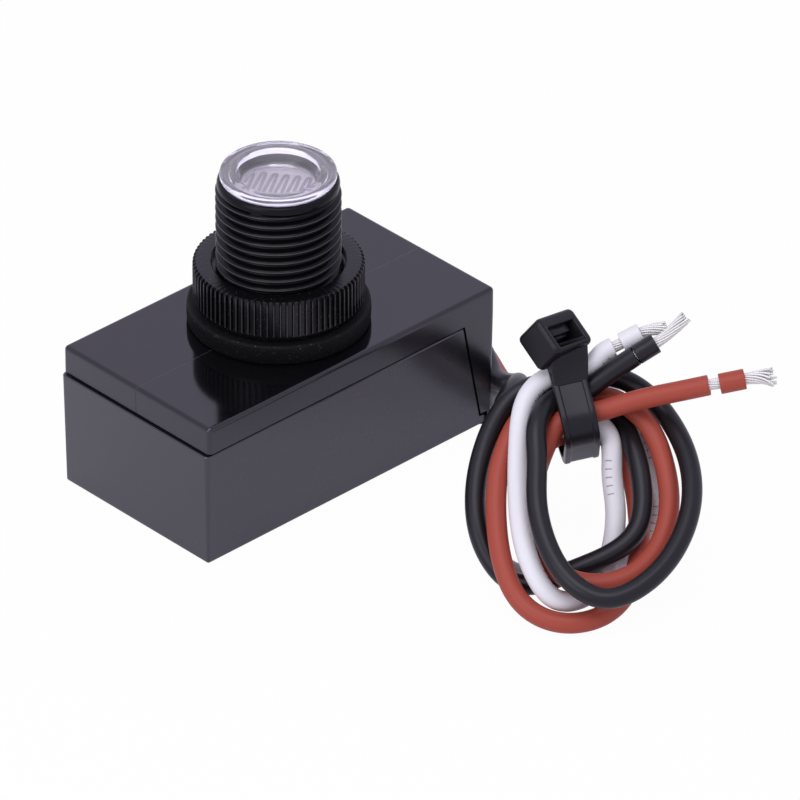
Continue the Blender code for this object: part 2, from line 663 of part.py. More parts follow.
def transistor(x, y, size):
    """A small D-shaped case on three legs, of its full size or a share of it."""
    low = BOARD_TOP + SEAT_GAP
    radius = 2.3 * size
    flat = 1.3 * size
    outline = [(x + radius * cos(a), y + radius * sin(a))
               for a in [radians(-34 + 248 * k / 14) for k in range(15)]]
    body = loft([[(px, max(py, y - flat), z) for px, py in outline] for z in (low + 2.5, low + 7.0)])
    legs = [cylinder(LEG_R, low, low + 3.5, 8, x + dx, y) for dx in (-1.27 * size, 0.0, 1.27 * size)]
    return join(body, *legs)


def cell_leg(x):
    """One of the cell's stiff legs, straight down the stem to the board."""
    return cylinder(LEG_R, BOARD_TOP + SEAT_GAP, CELL_Z - SEAT_GAP, 8, x, 0.0)


def frame_of_hank():
    """The hank's directions: u across, v up the slope of its loops, w out of their plane."""
    turn = radians(HANK_TURN)
    lean = radians(HANK_LEAN)
    u = np.array((cos(turn), sin(turn), 0.0))
    away = np.array((-sin(turn), cos(turn), 0.0))
    v = cos(lean) * away + sin(lean) * np.array((0.0, 0.0, 1.0))
    return u, v, np.cross(u, v)


def hank(point):
    """A point given as (u, v, w) from the tie's middle, in world millimetres."""
    u, v, w = frame_of_hank()
    return np.array(TIE_AT) + point[0] * u + point[1] * v + point[2] * w


def through_tie(slot):
    """Two points that carry a lead straight through its place in the bundle; a slot is (row, column)."""
    tilt = radians(BUNDLE_TILT)
    rise = slot[0] * BUNDLE_PITCH
    points = []
    for along in (-STRAIGHT_HALF, STRAIGHT_HALF):
        u = along * cos(tilt) - rise * sin(tilt)
        v = along * sin(tilt) + rise * cos(tilt)
        points.append(hank((u, v, slot[1] * BUNDLE_PITCH)))
    return points


def smooth(points, count):
    """A natural cubic spline through the points, read at even steps of its parameter."""
    points = np.array(points, float)
    size = len(points)
    gaps = np.linalg.norm(np.diff(points, axis=0), axis=1) ** 0.7
    knots = np.concatenate(([0.0], np.cumsum(gaps)))
    system = np.eye(size)
    target = np.zeros((size, 3))
    for i in range(1, size - 1):
        before, after = gaps[i - 1], gaps[i]
        system[i, i - 1:i + 2] = before, 2 * (before + after), after
        target[i] = 6 * ((points[i + 1] - points[i]) / after - (points[i] - points[i - 1]) / before)
    bends = np.linalg.solve(system, target)
    place = np.linspace(0.0, knots[-1], count)
    i = np.clip(np.searchsorted(knots, place, side="right") - 1, 0, size - 2)
    gap = gaps[i]
    low = (knots[i + 1] - place) / gap
    high = 1 - low
    curve = low[:, None] * points[i] + high[:, None] * points[i + 1]
    pull = (low ** 3 - low)[:, None] * bends[i] + (high ** 3 - high)[:, None] * bends[i + 1]
    return curve + pull * (gap ** 2)[:, None] / 6


def evenly(curve, count):
    """The curve read again at equal steps of its length, with shorter steps where it bends."""
    steps = np.diff(curve, axis=0)
    lengths = np.linalg.norm(steps, axis=1)
    headings = steps / lengths[:, None]
    turning = np.linalg.norm(np.diff(headings, axis=0, prepend=headings[:1]), axis=1)
    run = np.concatenate(([0.0], np.cumsum(lengths + BEND_WEIGHT * turning)))
    place = np.linspace(0.0, run[-1], int(count))
    return np.stack([np.interp(place, run, curve[:, k]) for k in range(3)], axis=1)


def lead(name, points, finish):
    """A lead's insulation: a round bar on a poly spline, with filled caps."""
    shape = bpy.data.curves.new(name, "CURVE")
    shape.dimensions = "3D"
    shape.bevel_depth = LEAD_D / 2 * MM
    shape.bevel_resolution = 2
    shape.use_fill_caps = True
    spline = shape.splines.new("POLY")
    spline.points.add(len(points) - 1)
    for place, point in zip(spline.points, points):
        place.co = (*(point * MM), 1.0)
    spline.use_smooth = True
    shape.materials.append(finish)
    thing = bpy.data.objects.new(name, shape)
    bpy.context.scene.collection.objects.link(thing)
    return thing


def lead_way(colour):
    """The points of a lead's centreline, from inside the cover to the cut end of its insulation."""
    route = ROUTES[colour]
    points = [np.array((LENGTH / 2 + x, y, z)) for x, y, z in route["exit"]]
    points += [hank(p) for p in route["near"]]
    after = [*route["turns"], route["tail"]]
    for slot, onward in zip(route["slots"], after):
        points += through_tie(slot)
        points += [hank(p) for p in onward]
    return evenly(smooth(points, 1200), LEAD_POINTS)


def bare_end(colour, way):
    """The twisted strands past the insulation: a lobed bar that starts off the cut and frays at its end."""
    heading = (way[-1] - way[-2]) / np.linalg.norm(way[-1] - way[-2])
    start = way[-1] + CUT_GAP * heading
    path = evenly(smooth([start, *(hank(p) for p in ROUTES[colour]["core"][1:])], 200), 18)
    sides = 10
    radii = []
    for i in range(len(path)):
        run = i / (len(path) - 1)
        spread = 1.0 + 0.35 * max(0.0, run - 0.7)
        groove = STRAND_GROOVE * (1.0 + max(0.0, run - 0.6))
        radii.append([spread * (COPPER_R - groove * (k % 2)) for k in range(sides)])
    turn = [STRAND_TWIST * i for i in range(len(path))]
    return swept(path, radii, sides, turn)


def slug(colour):
    """The piece of insulation left on the strands, with a clear bore."""
    core = ROUTES[colour]["core"]
    ends = np.array([hank(core[0]), hank(core[1])])
    if np.linalg.norm(ends[0] - lead_way(colour)[-1]) < 2 * CUT_GAP:
        ends[0] += CUT_GAP * (ends[1] - ends[0]) / np.linalg.norm(ends[1] - ends[0])
    body = swept(ends, [LEAD_D / 2, LEAD_D / 2], 16)
    reach = ends[1] - ends[0]
    bore = swept([ends[0] - reach, ends[1] + reach], [COPPER_R + SLUG_CLEARANCE] * 2, 16)
    return cut(body, bore)


def placed(mesh, origin, axes):
    """Moves a mesh built round the origin to a frame given by three directions."""
    turn = Matrix([list(row) for row in np.array(axes).T]).to_4x4()
    turn.translation = Vector(origin) * MM
    mesh.transform(turn)
    return mesh


def strap_loop(grow, along):
    """The strap's outline across the bundle: close corners at the head's side, rounder ones where it sags."""
    half = BUNDLE_PITCH + LEAD_D / 2 + TIE_CLEARANCE
    low = -half - TIE_SAG
    back = -half - TIE_BACK
    corners = ((half - TIE_CORNER, half - TIE_CORNER, TIE_CORNER, 0),
               (low + TIE_SAG_CORNER, half - TIE_SAG_CORNER, TIE_SAG_CORNER, 90),
               (low + TIE_SAG_CORNER, back + TIE_SAG_CORNER, TIE_SAG_CORNER, 180),
               (half - TIE_CORNER, back + TIE_CORNER, TIE_CORNER, 270))
    ring = []
    for x, y, radius, start in corners:
        for k in range(6):
            angle = radians(start + 18 * k)
            ring.append((x + (radius + grow) * cos(angle), y + (radius + grow) * sin(angle), along))
    return ring


def head_axes():
    """The head's directions: down towards the strap, across it, and out of its slot."""
    wide = np.array(TIE_HEAD_WIDE) / np.linalg.norm(TIE_HEAD_WIDE)
    deep = np.array(TIE_HEAD_DEEP) - wide * np.dot(wide, TIE_HEAD_DEEP)
    deep /= np.linalg.norm(deep)
    return deep, wide, np.cross(deep, wide)


def tie_head():
    """The head's block with rounded edges, its slot and the pawl in it, built round its own middle."""
    down = TIE_HEAD_DOWN / 2
    across = TIE_HEAD_ACROSS / 2
    thick = TIE_HEAD_THICK / 2
    edge = TIE_HEAD_EDGE
    levels = ((-thick, edge), (-thick + edge / 3, edge / 3), (-thick + edge, 0.0),
              (thick - edge, 0.0), (thick - edge / 3, edge / 3), (thick, edge))
    block_rings = [rectangle(-down + pull, down - pull, -across + pull, across - pull, edge, z, 3)
                   for z, pull in levels]
    low = TIE_SLOT_SHIFT - TIE_SLOT[1] / 2
    high = TIE_SLOT_SHIFT + TIE_SLOT[1] / 2
    slot = block(low, high, -TIE_SLOT[0] / 2, TIE_SLOT[0] / 2, -1.0, 2 * thick)
    pawl = block(low - edge, low + TIE_PAWL[1], -TIE_PAWL[0] / 2, TIE_PAWL[0] / 2, -thick + edge, TIE_PAWL[2])
    return join(cut(loft(block_rings), slot), pawl)


def tie_neck(across, w, along):
    """The flare from the head's lower face to the strap: rings that turn and shrink on a quadratic curve."""
    deep, wide, up = head_axes()
    start = hank(TIE_HEAD_AT) + (TIE_HEAD_DOWN / 2 - TIE_NECK_SINK) * deep
    front = BUNDLE_PITCH + LEAD_D / 2 + TIE_CLEARANCE + TIE_THICK / 2
    end = np.array(TIE_AT) + TIE_NECK_FOOT * across + front * w
    bend = start + 2 * TIE_NECK_SINK * deep
    rings = []
    for k in range(TIE_NECK_STEPS + 1):
        t = k / TIE_NECK_STEPS
        middle = (1 - t) ** 2 * start + 2 * t * (1 - t) * bend + t ** 2 * end
        late = 1 - (1 - t) ** 2
        side = (1 - late) * wide * (TIE_HEAD_ACROSS / 2 - 0.1) + late * along * TIE_WIDTH / 2
        rise = (1 - late) * up * (TIE_HEAD_THICK / 2 - 0.1) + late * w * TIE_THICK / 2
        corner = rectangle(-1.0, 1.0, -1.0, 1.0, 0.3, 0.0, 3)
        rings.append([tuple(middle + x * side + y * rise) for x, y, _ in corner])
    return loft(rings)


def cable_tie():
    """The tie in one piece: the strap round the bundle and its head with a slot and pawl."""
    u, v, w = frame_of_hank()
    tilt = radians(BUNDLE_TILT)
    along = cos(tilt) * u + sin(tilt) * v
    across = cos(tilt) * v - sin(tilt) * u
    outer = loft([strap_loop(TIE_THICK, z) for z in (-TIE_WIDTH / 2, TIE_WIDTH / 2)])
    opening = loft([strap_loop(0.0, z) for z in (-TIE_WIDTH, TIE_WIDTH)])
    inner = placed(opening, TIE_AT, (across, w, along))
    outer = placed(outer, TIE_AT, (across, w, along))
    head = placed(tie_head(), hank(TIE_HEAD_AT), head_axes())
    return cut(join(outer, head, tie_neck(across, w, along)), inner)


def build_cord(finish):
    """The three leads, each with a slug of insulation pushed along its bare strands, and the tie."""
    for colour in ROUTES:
        way = lead_way(colour)
        lead(f"{colour}_lead", way, finish[f"lead_{colour}"])
        add_object(f"{colour}_slug", slug(colour), finish[f"lead_{colour}"])
        add_object(f"{colour}_strands", bare_end(colour, way), finish["tinned"])
    add_object("cable_tie", cable_tie(), finish["satin_black"])


def build_inside(finish):
    """The relay board: the parts that stand on it, between the cover's walls."""
    add_object("circuit_board", circuit_board(), finish["board"])
    along = BOARD_LENGTH / LAYOUT[0]
    across = BOARD_WIDTH / LAYOUT[1]
    rise = HEADROOM / LAYOUT[2]
    least = min(along, across, rise)

    def case(x0, x1, y0, y1, height):
        return boxed(x0 * along, x1 * along, y0 * across, y1 * across, height * rise)

    def axial_at(x, y, span, body_length, body_r):
        return axial(x * along, y * across, span * along, body_length * along, body_r * least)

    add_object("power_relay", case(-23.2, -4.6, -7.6, 7.6, 14.2), finish["relay_blue"])
    add_object("film_capacitor", case(7.6, 19.8, 6.4, 11.2, 10.0), finish["film_red"])
    add_object("electrolytic_capacitor", electrolytic(6.2 * along, -7.4 * across, 4.0 * least, 11.5 * rise),
               finish["sleeve"])
    add_object("varistor", varistor(1.2 * along, 9.2 * across, 4.4 * least, 3.6 * across, 1.6),
               finish["disc_blue"])
    add_object("transistor", transistor(-1.6 * along, -8.6 * across, least), finish["satin_black"])
    for number in range(4):
        add_object(f"rectifier_diode_{number + 1}", axial_at(16.2, -10.8 + 2.9 * number, 7.2, 4.2, 1.3),
                   finish["satin_black"])
    add_object("zener_diode", axial_at(-7.6, 10.2, 6.0, 3.4, 0.95), finish["film_red"])
    for number, (x, y) in enumerate(((8.4, -1.2), (8.4, 2.2), (-17.2, 10.2))):
        add_object(f"resistor_{number + 1}", axial_at(x, y, 7.4, 5.2, 1.15), finish["resistor_tan"])
    add_object("fusible_resistor", axial_at(-13.4, -10.2, 12.4, 8.6, 1.7), finish["resistor_tan"])
    add_object("light_cell", light_cell(), finish["ceramic"])
    for side, x in (("near", -CELL_PITCH / 2), ("far", CELL_PITCH / 2)):
        add_object(f"cell_leg_{side}", cell_leg(x), finish["tinned"])


def build_shells(finish):
    add_object("housing_cover", housing_cover(), finish["gloss_black"])
    add_object("housing_tray", housing_tray(), finish["gloss_black"])
    add_object("lens", lens(), finish["clear"])
    add_object("sealing_washer", sealing_washer(), finish["rubber"])
    add_object("lock_nut", lock_nut(), finish["satin_black"])


def main():
    clear_scene()
    finish = finishes()
    build_shells(finish)
    build_inside(finish)
    build_cord(finish)


main()
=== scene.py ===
"""Dresses the photocell switch: housing, threaded stem, lens and cell, lock nut, washer and the tied leads.

Sizes are in millimetres and turned to metres when a mesh is made. The origin is the middle of the housing's
underside, +X runs towards the end where the leads leave and +Z is up.
"""
from math import cos, pi, radians, sin

import bmesh
import bpy
import numpy as np
from mathutils import Matrix, Vector


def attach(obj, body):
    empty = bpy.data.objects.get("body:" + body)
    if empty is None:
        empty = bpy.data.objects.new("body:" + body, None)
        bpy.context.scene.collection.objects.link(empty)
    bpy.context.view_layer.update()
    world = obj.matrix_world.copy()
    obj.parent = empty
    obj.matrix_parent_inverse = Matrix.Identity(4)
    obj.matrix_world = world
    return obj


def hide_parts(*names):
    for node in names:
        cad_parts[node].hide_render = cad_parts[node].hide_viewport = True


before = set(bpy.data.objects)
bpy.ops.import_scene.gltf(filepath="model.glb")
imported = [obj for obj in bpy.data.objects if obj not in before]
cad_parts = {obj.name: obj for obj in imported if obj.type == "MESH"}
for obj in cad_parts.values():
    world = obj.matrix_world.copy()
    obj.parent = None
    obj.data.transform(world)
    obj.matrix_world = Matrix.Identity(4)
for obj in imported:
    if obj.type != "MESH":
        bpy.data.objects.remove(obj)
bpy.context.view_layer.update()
MM = 0.001

# Housing
LENGTH = 53.4
WIDTH = 29.3
HEIGHT = 21.5
WALL = 1.6
PARTING_Z = 17.2
TRAY_PROUD = 0.45
DRAFT = 0.3
CORNER_R = 0.7
TOP_FILLET = 0.6
BASE_FILLET = 0.4
SEAM = 0.28
SEAM_TOP_X = 20.7
SEAM_FOOT_X = 24.1
SEAM_FOOT_Z = 1.5
LEDGE = 0.25
LEDGE_GAP = 0.08
LEDGE_RISE = 0.7
TRAY_TOE_X = 25.3
FLOOR = 1.4
LIP_ROUND = 0.12
HOLD = 0.05
HOLE_CLEARANCE = 0.3
QUARTER = np.linspace(0, pi / 2, 7)

# Threaded stem
THREAD_R = 8.55
THREAD_PITCH = 25.4 / 18
THREAD_DEPTH = 0.85
CREST_FLAT = 0.08
FLANK = 0.80
THREAD_START_Z = 22.2
THREAD_END_Z = 42.5
STEM_TOP_Z = 43.6
STEM_SHOULDER_Z = 42.75
STEM_SHOULDER_R = 8.35
STEM_BORE_R = 6.6
STEM_RIM_ROUND = 0.45
STEM_MOUTH_ROUND = 0.15
STEM_SINK = 0.4
STEM_SIDES = 168
STEM_ROWS = 215
PLATE_HOLE_R = STEM_BORE_R + 0.4

# Lens and light cell; LENS_RING is the clear ring's profile and CONTACT_DOME a contact's, from the disc's top
LENS_R = 7.95
LENS_FOOT_Z = 43.64
LENS_TOP_Z = 44.78
LENS_DISH_R = 5.63
LENS_FLOOR_Z = 42.8
LENS_WINDOW_Z = 42.0
LENS_SKIRT_R = 6.3
LENS_SKIRT_Z = 40.9
LENS_SKIRT_BORE_R = 5.6
LENS_DISH_FOOT_R = 5.13
LENS_DISH_Z = 44.6
LENS_RING = ((LENS_R, 43.95), (LENS_R, 44.42), (7.87, 44.68), (7.55, LENS_TOP_Z), (7.25, 44.66), (7.0, 44.56),
             (6.75, 44.66), (6.4, LENS_TOP_Z), (5.95, LENS_TOP_Z))
CELL_R = 5.4
CELL_Z = 39.5
CELL_TOP_Z = 41.7
CELL_TURN = -56.9
CONTACTS = ((0.6, 4.3), (-0.6, -4.3))
CONTACT_DOME = ((0.0, -0.1), (0.72, -0.1), (0.64, 0.06), (0.36, 0.15), (0.0, 0.18))
TRACK_TURNS = 6
TRACK_STATIONS = 560
TRACK_SQUARE = 2.6
TRACK_SPAN = 4.8
TRACK_REACH = 3.3
TRACK_MARGIN = 0.35
TRACK_HALF = 0.27
TRACK_THICK = 0.06

# Washer and lock nut
WASHER_R = 12.6
WASHER_LOW_Z = 21.55
WASHER_HIGH_Z = 24.42
WASHER_BORE_R = 8.95
NUT_R = 11.7
NUT_LOW_Z = 24.5
NUT_HIGH_Z = 30.7
NUT_RIDGES = 82
NUT_RIDGE_DEPTH = 0.42
NUT_FOOT = 1.0
NUT_COUNTERBORE_R = 9.1
NUT_COUNTERBORE_DEPTH = 0.9
NUT_CLEARANCE = 0.3
NUT_RIDGE_SIDES = 14
NUT_GROOVE = (0.56, 0.84)
NUT_THREAD_ROWS = 30

# Leads and their hank; END_STEPS are shares of a sleeve's end rounding, and WIRE_RINGS are (radius, wires)
LEAD_R = 1.4
LEAD_EXITS = (0.9, -3.6, 5.4)
LEAD_Z = 6.5
TIE_AT = (14.9, -41.4, 20.5)
HANK_TURN = -42.7
HANK_LEAN = 38.0
BUNDLE_TILT = 13.0
BUNDLE_PITCH = 3.15
STRAIGHT_HALF = 1.6
LEAD_CURVE_POINTS = 4000
LEAD_STATIONS = 760
LEAD_SIDES = 28
END_ROUND = 0.14
END_STEPS = (0.0, 0.03, 0.25, 0.6, 1.0)
SLUG_BORE_R = 1.02
WIRE_R = 0.168
WIRE_RINGS = ((0.0, 1), (0.3, 6), (0.6, 12))
WIRE_LAY = 22.0
WIRE_SIDES = 8
WIRE_STATIONS = 64
WIRE_OPENS = 0.5
WIRE_SHORT = 0.09
WIRE_SEED = 11
FRAY = {"black": 0.15, "white": 0.2, "red": 1.0}
FRAY_LEAST = 0.15
FRAY_VEER = 0.35
FRAY_SWELL = 0.12
FRAY_DROOP = 0.25
BARE_CURVE_POINTS = 600
CUT_GAP = 0.3

# Cable tie
TIE_WIDTH = 4.8
TIE_THICK = 1.05
TIE_CLEARANCE = 0.35
TIE_SAG = 1.3
TIE_BACK = 1.0
TIE_CORNER = 1.8
TIE_SAG_CORNER = 2.9
TIE_HEAD_ACROSS = 7.6
TIE_HEAD_DOWN = 5.7
TIE_HEAD_THICK = 4.9
TIE_HEAD_AT = (-2.07, 6.61, 6.4)
TIE_HEAD_WIDE = (0.982, 0.084, -0.199)
TIE_HEAD_DEEP = (-0.038, -0.833, -0.549)
TIE_HEAD_ROUND = 0.6
TIE_HEAD_CORNER = 0.9
TIE_NECK_FOOT = 0.6
TIE_NECK_SINK = 1.2
TIE_SLOT = (5.4, 3.2)
TIE_SLOT_SHIFT = 0.5
TIE_RAIL = 0.75
TIE_CHANNEL = 0.14

# Each lead's way: out of the end wall in millimetres, x from the end wall's face, then as (u, v, w) from the
# tie's middle: up to the tie, three times through it with a turn of the hank between, and its bare end
ROUTES = {
    "black": {
        "exit": [(-4.7, 0.9, 6.5), (-0.7, 0.9, 6.5), (1.7, 0.8, 6.5), (4.7, -1.6, 6.4), (5.5, -5.6, 5.9),
            (3.9, -9.4, 5.1), (2.25, -12.8, 4.9), (1.1, -17.2, 6.6), (-3.9, -22.8, 11.0)],
        "near": [(-8.6, 4.6, -14.6), (-8.2, 1.2, -10.4), (-5.9, -0.5, -5.9)],
        "slots": [(0, -1), (1, 0), (0, 1)],
        "turns": [
            [(5.6, -0.6, -2.6), (8.5, -6.6, -0.1), (9.5, -14.1, 0.3), (8.3, -18.7, 0.0), (4.5, -21.6, -0.8),
                (-0.3, -23.4, -1.8), (-4.5, -24.8, -2.6), (-8.0, -24.3, -3.1), (-10.8, -21.4, -3.0),
                (-12.5, -17.2, -2.4), (-12.8, -11.7, -2.0), (-11.7, -6.2, -1.5), (-9.4, -1.2, -0.6),
                (-6.1, 1.9, 0.0)],
            [(5.4, 3.9, -0.6), (9.6, 2.0, -0.8), (13.2, -2.6, 0.2), (15.6, -9.0, 2.0), (15.8, -15.9, 3.5),
                (13.5, -22.5, 4.5), (9.4, -27.4, 5.2), (4.1, -29.6, 5.5), (-0.4, -27.2, 5.4),
                (-3.5, -21.8, 4.8), (-4.8, -15.3, 4.6), (-4.7, -9.4, 5.0), (-4.6, -4.8, 4.9)],
        ],
        "tail": [(3.9, 1.7, 3.9), (6.2, 3.1, 4.9), (8.7, 4.5, 5.9)],
        "core": [(9.0, 4.7, 6.0), (11.4, 6.0, 6.6), (13.5, 7.5, 7.2), (15.5, 9.3, 8.0)],
    },
    "white": {
        "exit": [(-4.7, -3.6, 6.5), (-1.1, -3.6, 6.5), (0.8, -3.8, 6.3), (2.7, -5.4, 4.6), (2.8, -8.4, 2.4),
            (2.3, -12.2, 1.5), (1.3, -16.4, 1.5), (-0.7, -20.0, 2.9), (-3.9, -23.6, 5.8)],
        "near": [(-5.75, 3.8, -15.5), (-5.7, 2.9, -9.0), (-4.6, 2.3, -5.6)],
        "slots": [(1, -1), (-1, 0), (1, 1)],
        "turns": [
            [(4.9, 2.6, -4.2), (8.8, -0.4, -4.2), (11.4, -5.8, -4.4), (12.0, -12.8, -5.0),
                (10.4, -18.0, -6.2), (6.4, -20.6, -6.4), (1.2, -21.4, -6.6), (-4.0, -22.6, -6.2),
                (-8.4, -21.6, -6.2), (-11.4, -17.6, -5.7), (-12.6, -11.4, -5.2), (-11.8, -7.0, -4.9),
                (-9.7, -3.8, -4.4), (-6.2, -3.2, -3.3)],
            [(4.95, -4.4, -0.3), (5.5, -9.4, -1.6), (5.9, -13.8, -2.4), (5.5, -19.0, -3.3),
                (3.8, -23.8, -3.7), (0.9, -27.4, -1.2), (-2.6, -28.0, 0.9), (-5.8, -23.2, 1.9),
                (-7.0, -17.1, 1.5), (-7.2, -12.1, 1.2), (-7.0, -6.2, 2.3), (-5.6, 0.0, 3.1)],
        ],
        "tail": [(3.1, 4.35, 3.35), (4.3, 5.5, 3.8), (5.8, 6.3, 4.1)],
        "core": [(6.9, 6.8, 4.4), (9.5, 8.0, 5.0), (11.3, 8.4, 5.4), (13.2, 8.5, 5.8)],
    },
    "red": {
        "exit": [(-4.7, 5.4, 6.5), (-0.7, 5.4, 6.5), (1.9, 5.3, 6.4), (7.3, 1.6, 4.6), (8.5, -4.0, 1.9),
            (6.5, -8.8, 1.45), (5.1, -13.2, 1.6), (3.1, -18.6, 3.7)],
        "near": [(-3.3, 6.6, -20.5), (-2.9, 2.0, -14.0), (-4.4, -1.8, -9.6), (-4.6, -3.6, -7.0)],
        "slots": [(-1, -1), (0, 0), (-1, 1)],
        "turns": [
            [(5.6, -4.4, -3.6), (8.3, -9.7, -3.9), (9.0, -15.2, -3.2), (9.0, -20.6, -3.0),
                (7.6, -25.6, -1.8), (4.2, -30.0, 0.0), (-1.5, -31.3, 0.4), (-6.7, -28.5, 0.0),
                (-9.3, -23.0, 0.1), (-10.1, -16.7, 0.0), (-9.8, -10.3, -0.2), (-8.4, -5.4, -0.4),
                (-5.8, -1.6, -0.2)],
            [(5.2, 0.4, 0.3), (10.0, -3.2, 0.9), (12.4, -9.0, 0.8), (13.0, -15.0, 0.9), (11.2, -21.4, 1.4),
                (7.3, -25.4, 2.0), (2.9, -26.4, 2.1), (-1.1, -25.2, 1.6), (-3.6, -21.6, 0.0),
                (-5.0, -16.1, -1.6), (-5.0, -11.3, -1.2), (-3.7, -7.4, 1.2)],
        ],
        "tail": [(5.4, -2.2, 3.9), (9.4, -1.4, 5.0), (14.5, -0.6, 5.9), (18.4, 0.0, 6.6)],
        "core": [(19.8, 0.1, 6.7), (23.2, 0.7, 7.0), (25.4, 0.9, 7.2), (27.4, 0.8, 7.5)],
    },
}

# Camera: its place, the direction it looks in and the direction to the picture's right
CAMERA_AT = (-0.78488, -0.84965, 0.74795)
CAMERA_LOOK = (0.580411, 0.610616, -0.538903)
CAMERA_RIGHT = (0.732916, -0.680308, -0.003752)
CAMERA_LENS = 452.5
CAMERA_SENSOR = 36.0

# Light: the floor and the surround have their own tone and strength in what gloss shows
FLOOR_HALF = 1.6
FLOOR_Z = -0.00006
FLOOR_COLOUR = (0.86, 0.86, 0.87)
FLOOR_IN_GLOSS = (0.96, 0.92, 1.12)
FLOOR_SHOWN = 0.97
GLOSSY_SHARE = 0.5
WORLD_COLOUR = (0.95, 0.95, 0.97)
WORLD_GLOSS_COLOUR = (0.90, 0.86, 1.06)
WORLD_STRENGTH = 0.6
WORLD_SEEN = 1.1
WORLD_IN_GLOSS = 0.95
LAMPS = (
    ("overhead_softbox", (-0.25, -0.15, 0.75), (0.0, -0.02, 0.02), (0.6, 0.5), 2.4),
    ("left_softbox", (-0.75, -0.05, 0.35), (0.0, -0.02, 0.02), (0.5, 0.5), 1.4),
)

# Finishes
SHARP_ANGLE = 34.0
SKIRT_SLOPE = 0.4
GLOSS_TINT = (0.94, 0.91, 1.0, 1.0)
CLOUD_SCALE = 260.0
WAVE_SCALE = 90.0
DUST_SCALE = 5200.0
DUST_ABOVE = 0.735
DUST_COLOUR = (0.35, 0.34, 0.36)
WITNESS_HALF = 0.06
WITNESS_DEPTH = -1.6
DASH_PITCH = 1.15
DASH_SHARE = 0.16
DASH_RUN = 13.0
DASH_AT = 0.25
DASH_HALF = 0.055
DASH_STRENGTH = 0.75
TIN_COLOUR = (0.72, 0.71, 0.70, 1.0)
INSULATION = {"cloud": 0.1, "grain": 0.05, "grain_size": 5000.0, "wave": 0.3}
CLEAR = {"Base Color": (0.90, 0.88, 0.93, 1.0), "Transmission Weight": 0.88, "IOR": 1.49}
BUMP = {"Strength": 0.6, "Distance": 0.0001}


def unit(v):
    """The vector at length one."""
    return v / np.linalg.norm(v)


def circle(sides):
    """The angles of a circle's corners."""
    return np.linspace(0, 2 * pi, sides, endpoint=False)


def lengths(path):
    """The way run along a path at each of its points."""
    return np.concatenate(([0.0], np.cumsum(np.linalg.norm(np.diff(path, axis=0), axis=1))))


def read_at(place, run, points):
    """The points that lie at places along a path, given the way run at each of its own points."""
    return np.stack([np.interp(place, run, points[:, k]) for k in range(3)], axis=-1)


def level(ring, z):
    """A ring of (x, y) points at a height, or each at its own."""
    return np.column_stack((ring, np.broadcast_to(z, len(ring))))


def wound(radius, angle, z):
    """Points round the Z axis: x = r cos a, y = r sin a, in rows of one height or radius."""
    return np.stack([radius * np.cos(angle), radius * np.sin(angle), z + 0 * angle], axis=-1)


def surface(name, rows, poles=False, ring=False, along=None):
    """A mesh through a grid of points: rows of stations, each a closed ring of points.

    ring joins the last row to the first, and poles closes both ends with a fan round the row's mean point.
    The UV map holds the part of a turn, and the way along.
    """
    rows = np.asarray(rows, float)
    high, wide = rows.shape[:2]
    points = rows.reshape(-1, 3)
    r = np.arange(high if ring else high - 1)[:, None]
    c = np.arange(wide)[None, :]
    after = (c + 1) % wide
    above = (r + 1) % high
    quads = np.stack([r * wide + c, r * wide + after, above * wide + after, above * wide + c], axis=-1)
    faces = quads.reshape(-1, 4).tolist()
    way = np.arange(high + 1, dtype=float) if along is None else np.append(along, along[-1])
    u0, u1 = c / wide + 0 * r, (c + 1) / wide + 0 * r
    v0, v1 = way[r] + 0 * c, way[r + 1] + 0 * c
    uv = np.stack([u0, v0, u1, v0, u1, v1, u0, v1], axis=-1).reshape(-1)
    edge = np.arange(wide)
    for row in (0, high - 1) if poles else ():
        hub = np.full(wide, len(points))
        points = np.vstack([points, rows[row].mean(axis=0)])
        fan = np.stack([edge + row * wide, (edge + 1) % wide + row * wide, hub], axis=-1)
        faces += (fan if row else fan[:, ::-1]).tolist()
        v = np.full(wide, way[row])
        fan_uv = np.stack([edge / wide, v, (edge + 1) / wide, v, (edge + 0.5) / wide, v], axis=-1)
        uv = np.append(uv, fan_uv.reshape(-1))
    mesh = bpy.data.meshes.new(name)
    mesh.from_pydata((points * MM).tolist(), [], faces)
    layer = mesh.uv_layers.new(name="UVMap")
    layer.data.foreach_set("uv", uv.astype(np.float32))
    return outward(mesh)


def outward(mesh):
    """Merges a mesh's doubles and turns its faces outwards."""
    work = bmesh.new()
    work.from_mesh(mesh)
    bmesh.ops.remove_doubles(work, verts=work.verts, dist=1e-7)
    bmesh.ops.dissolve_degenerate(work, edges=work.edges, dist=1e-8)
    bmesh.ops.recalc_face_normals(work, faces=work.faces)
    work.to_mesh(mesh)
    work.free()
    return mesh


def together(name, meshes):
    """One mesh from several closed ones."""
    work = bmesh.new()
    for part in meshes:
        work.from_mesh(part)
        bpy.data.meshes.remove(part)
    whole = bpy.data.meshes.new(name)
    work.to_mesh(whole)
    work.free()
    return whole


def add_object(name, data):
    """A new object of the scene, with its data."""
    thing = bpy.data.objects.new(name, data)
    bpy.context.scene.collection.objects.link(thing)
    return thing


def cut(mesh, cutters):
    """The mesh with each cutter taken away by a Boolean step."""
    base = add_object("cut_base", mesh)
    tools = [add_object("cut_tool", cutter) for cutter in cutters]
    for tool in tools:
        step = base.modifiers.new("cut", "BOOLEAN")
        step.operation = "DIFFERENCE"
        step.solver = "EXACT"
        step.object = tool
    bpy.context.view_layer.update()
    result = bpy.data.meshes.new_from_object(base.evaluated_get(bpy.context.evaluated_depsgraph_get()))
    for thing in [base, *tools]:
        bpy.data.objects.remove(thing, do_unlink=True)
    return result


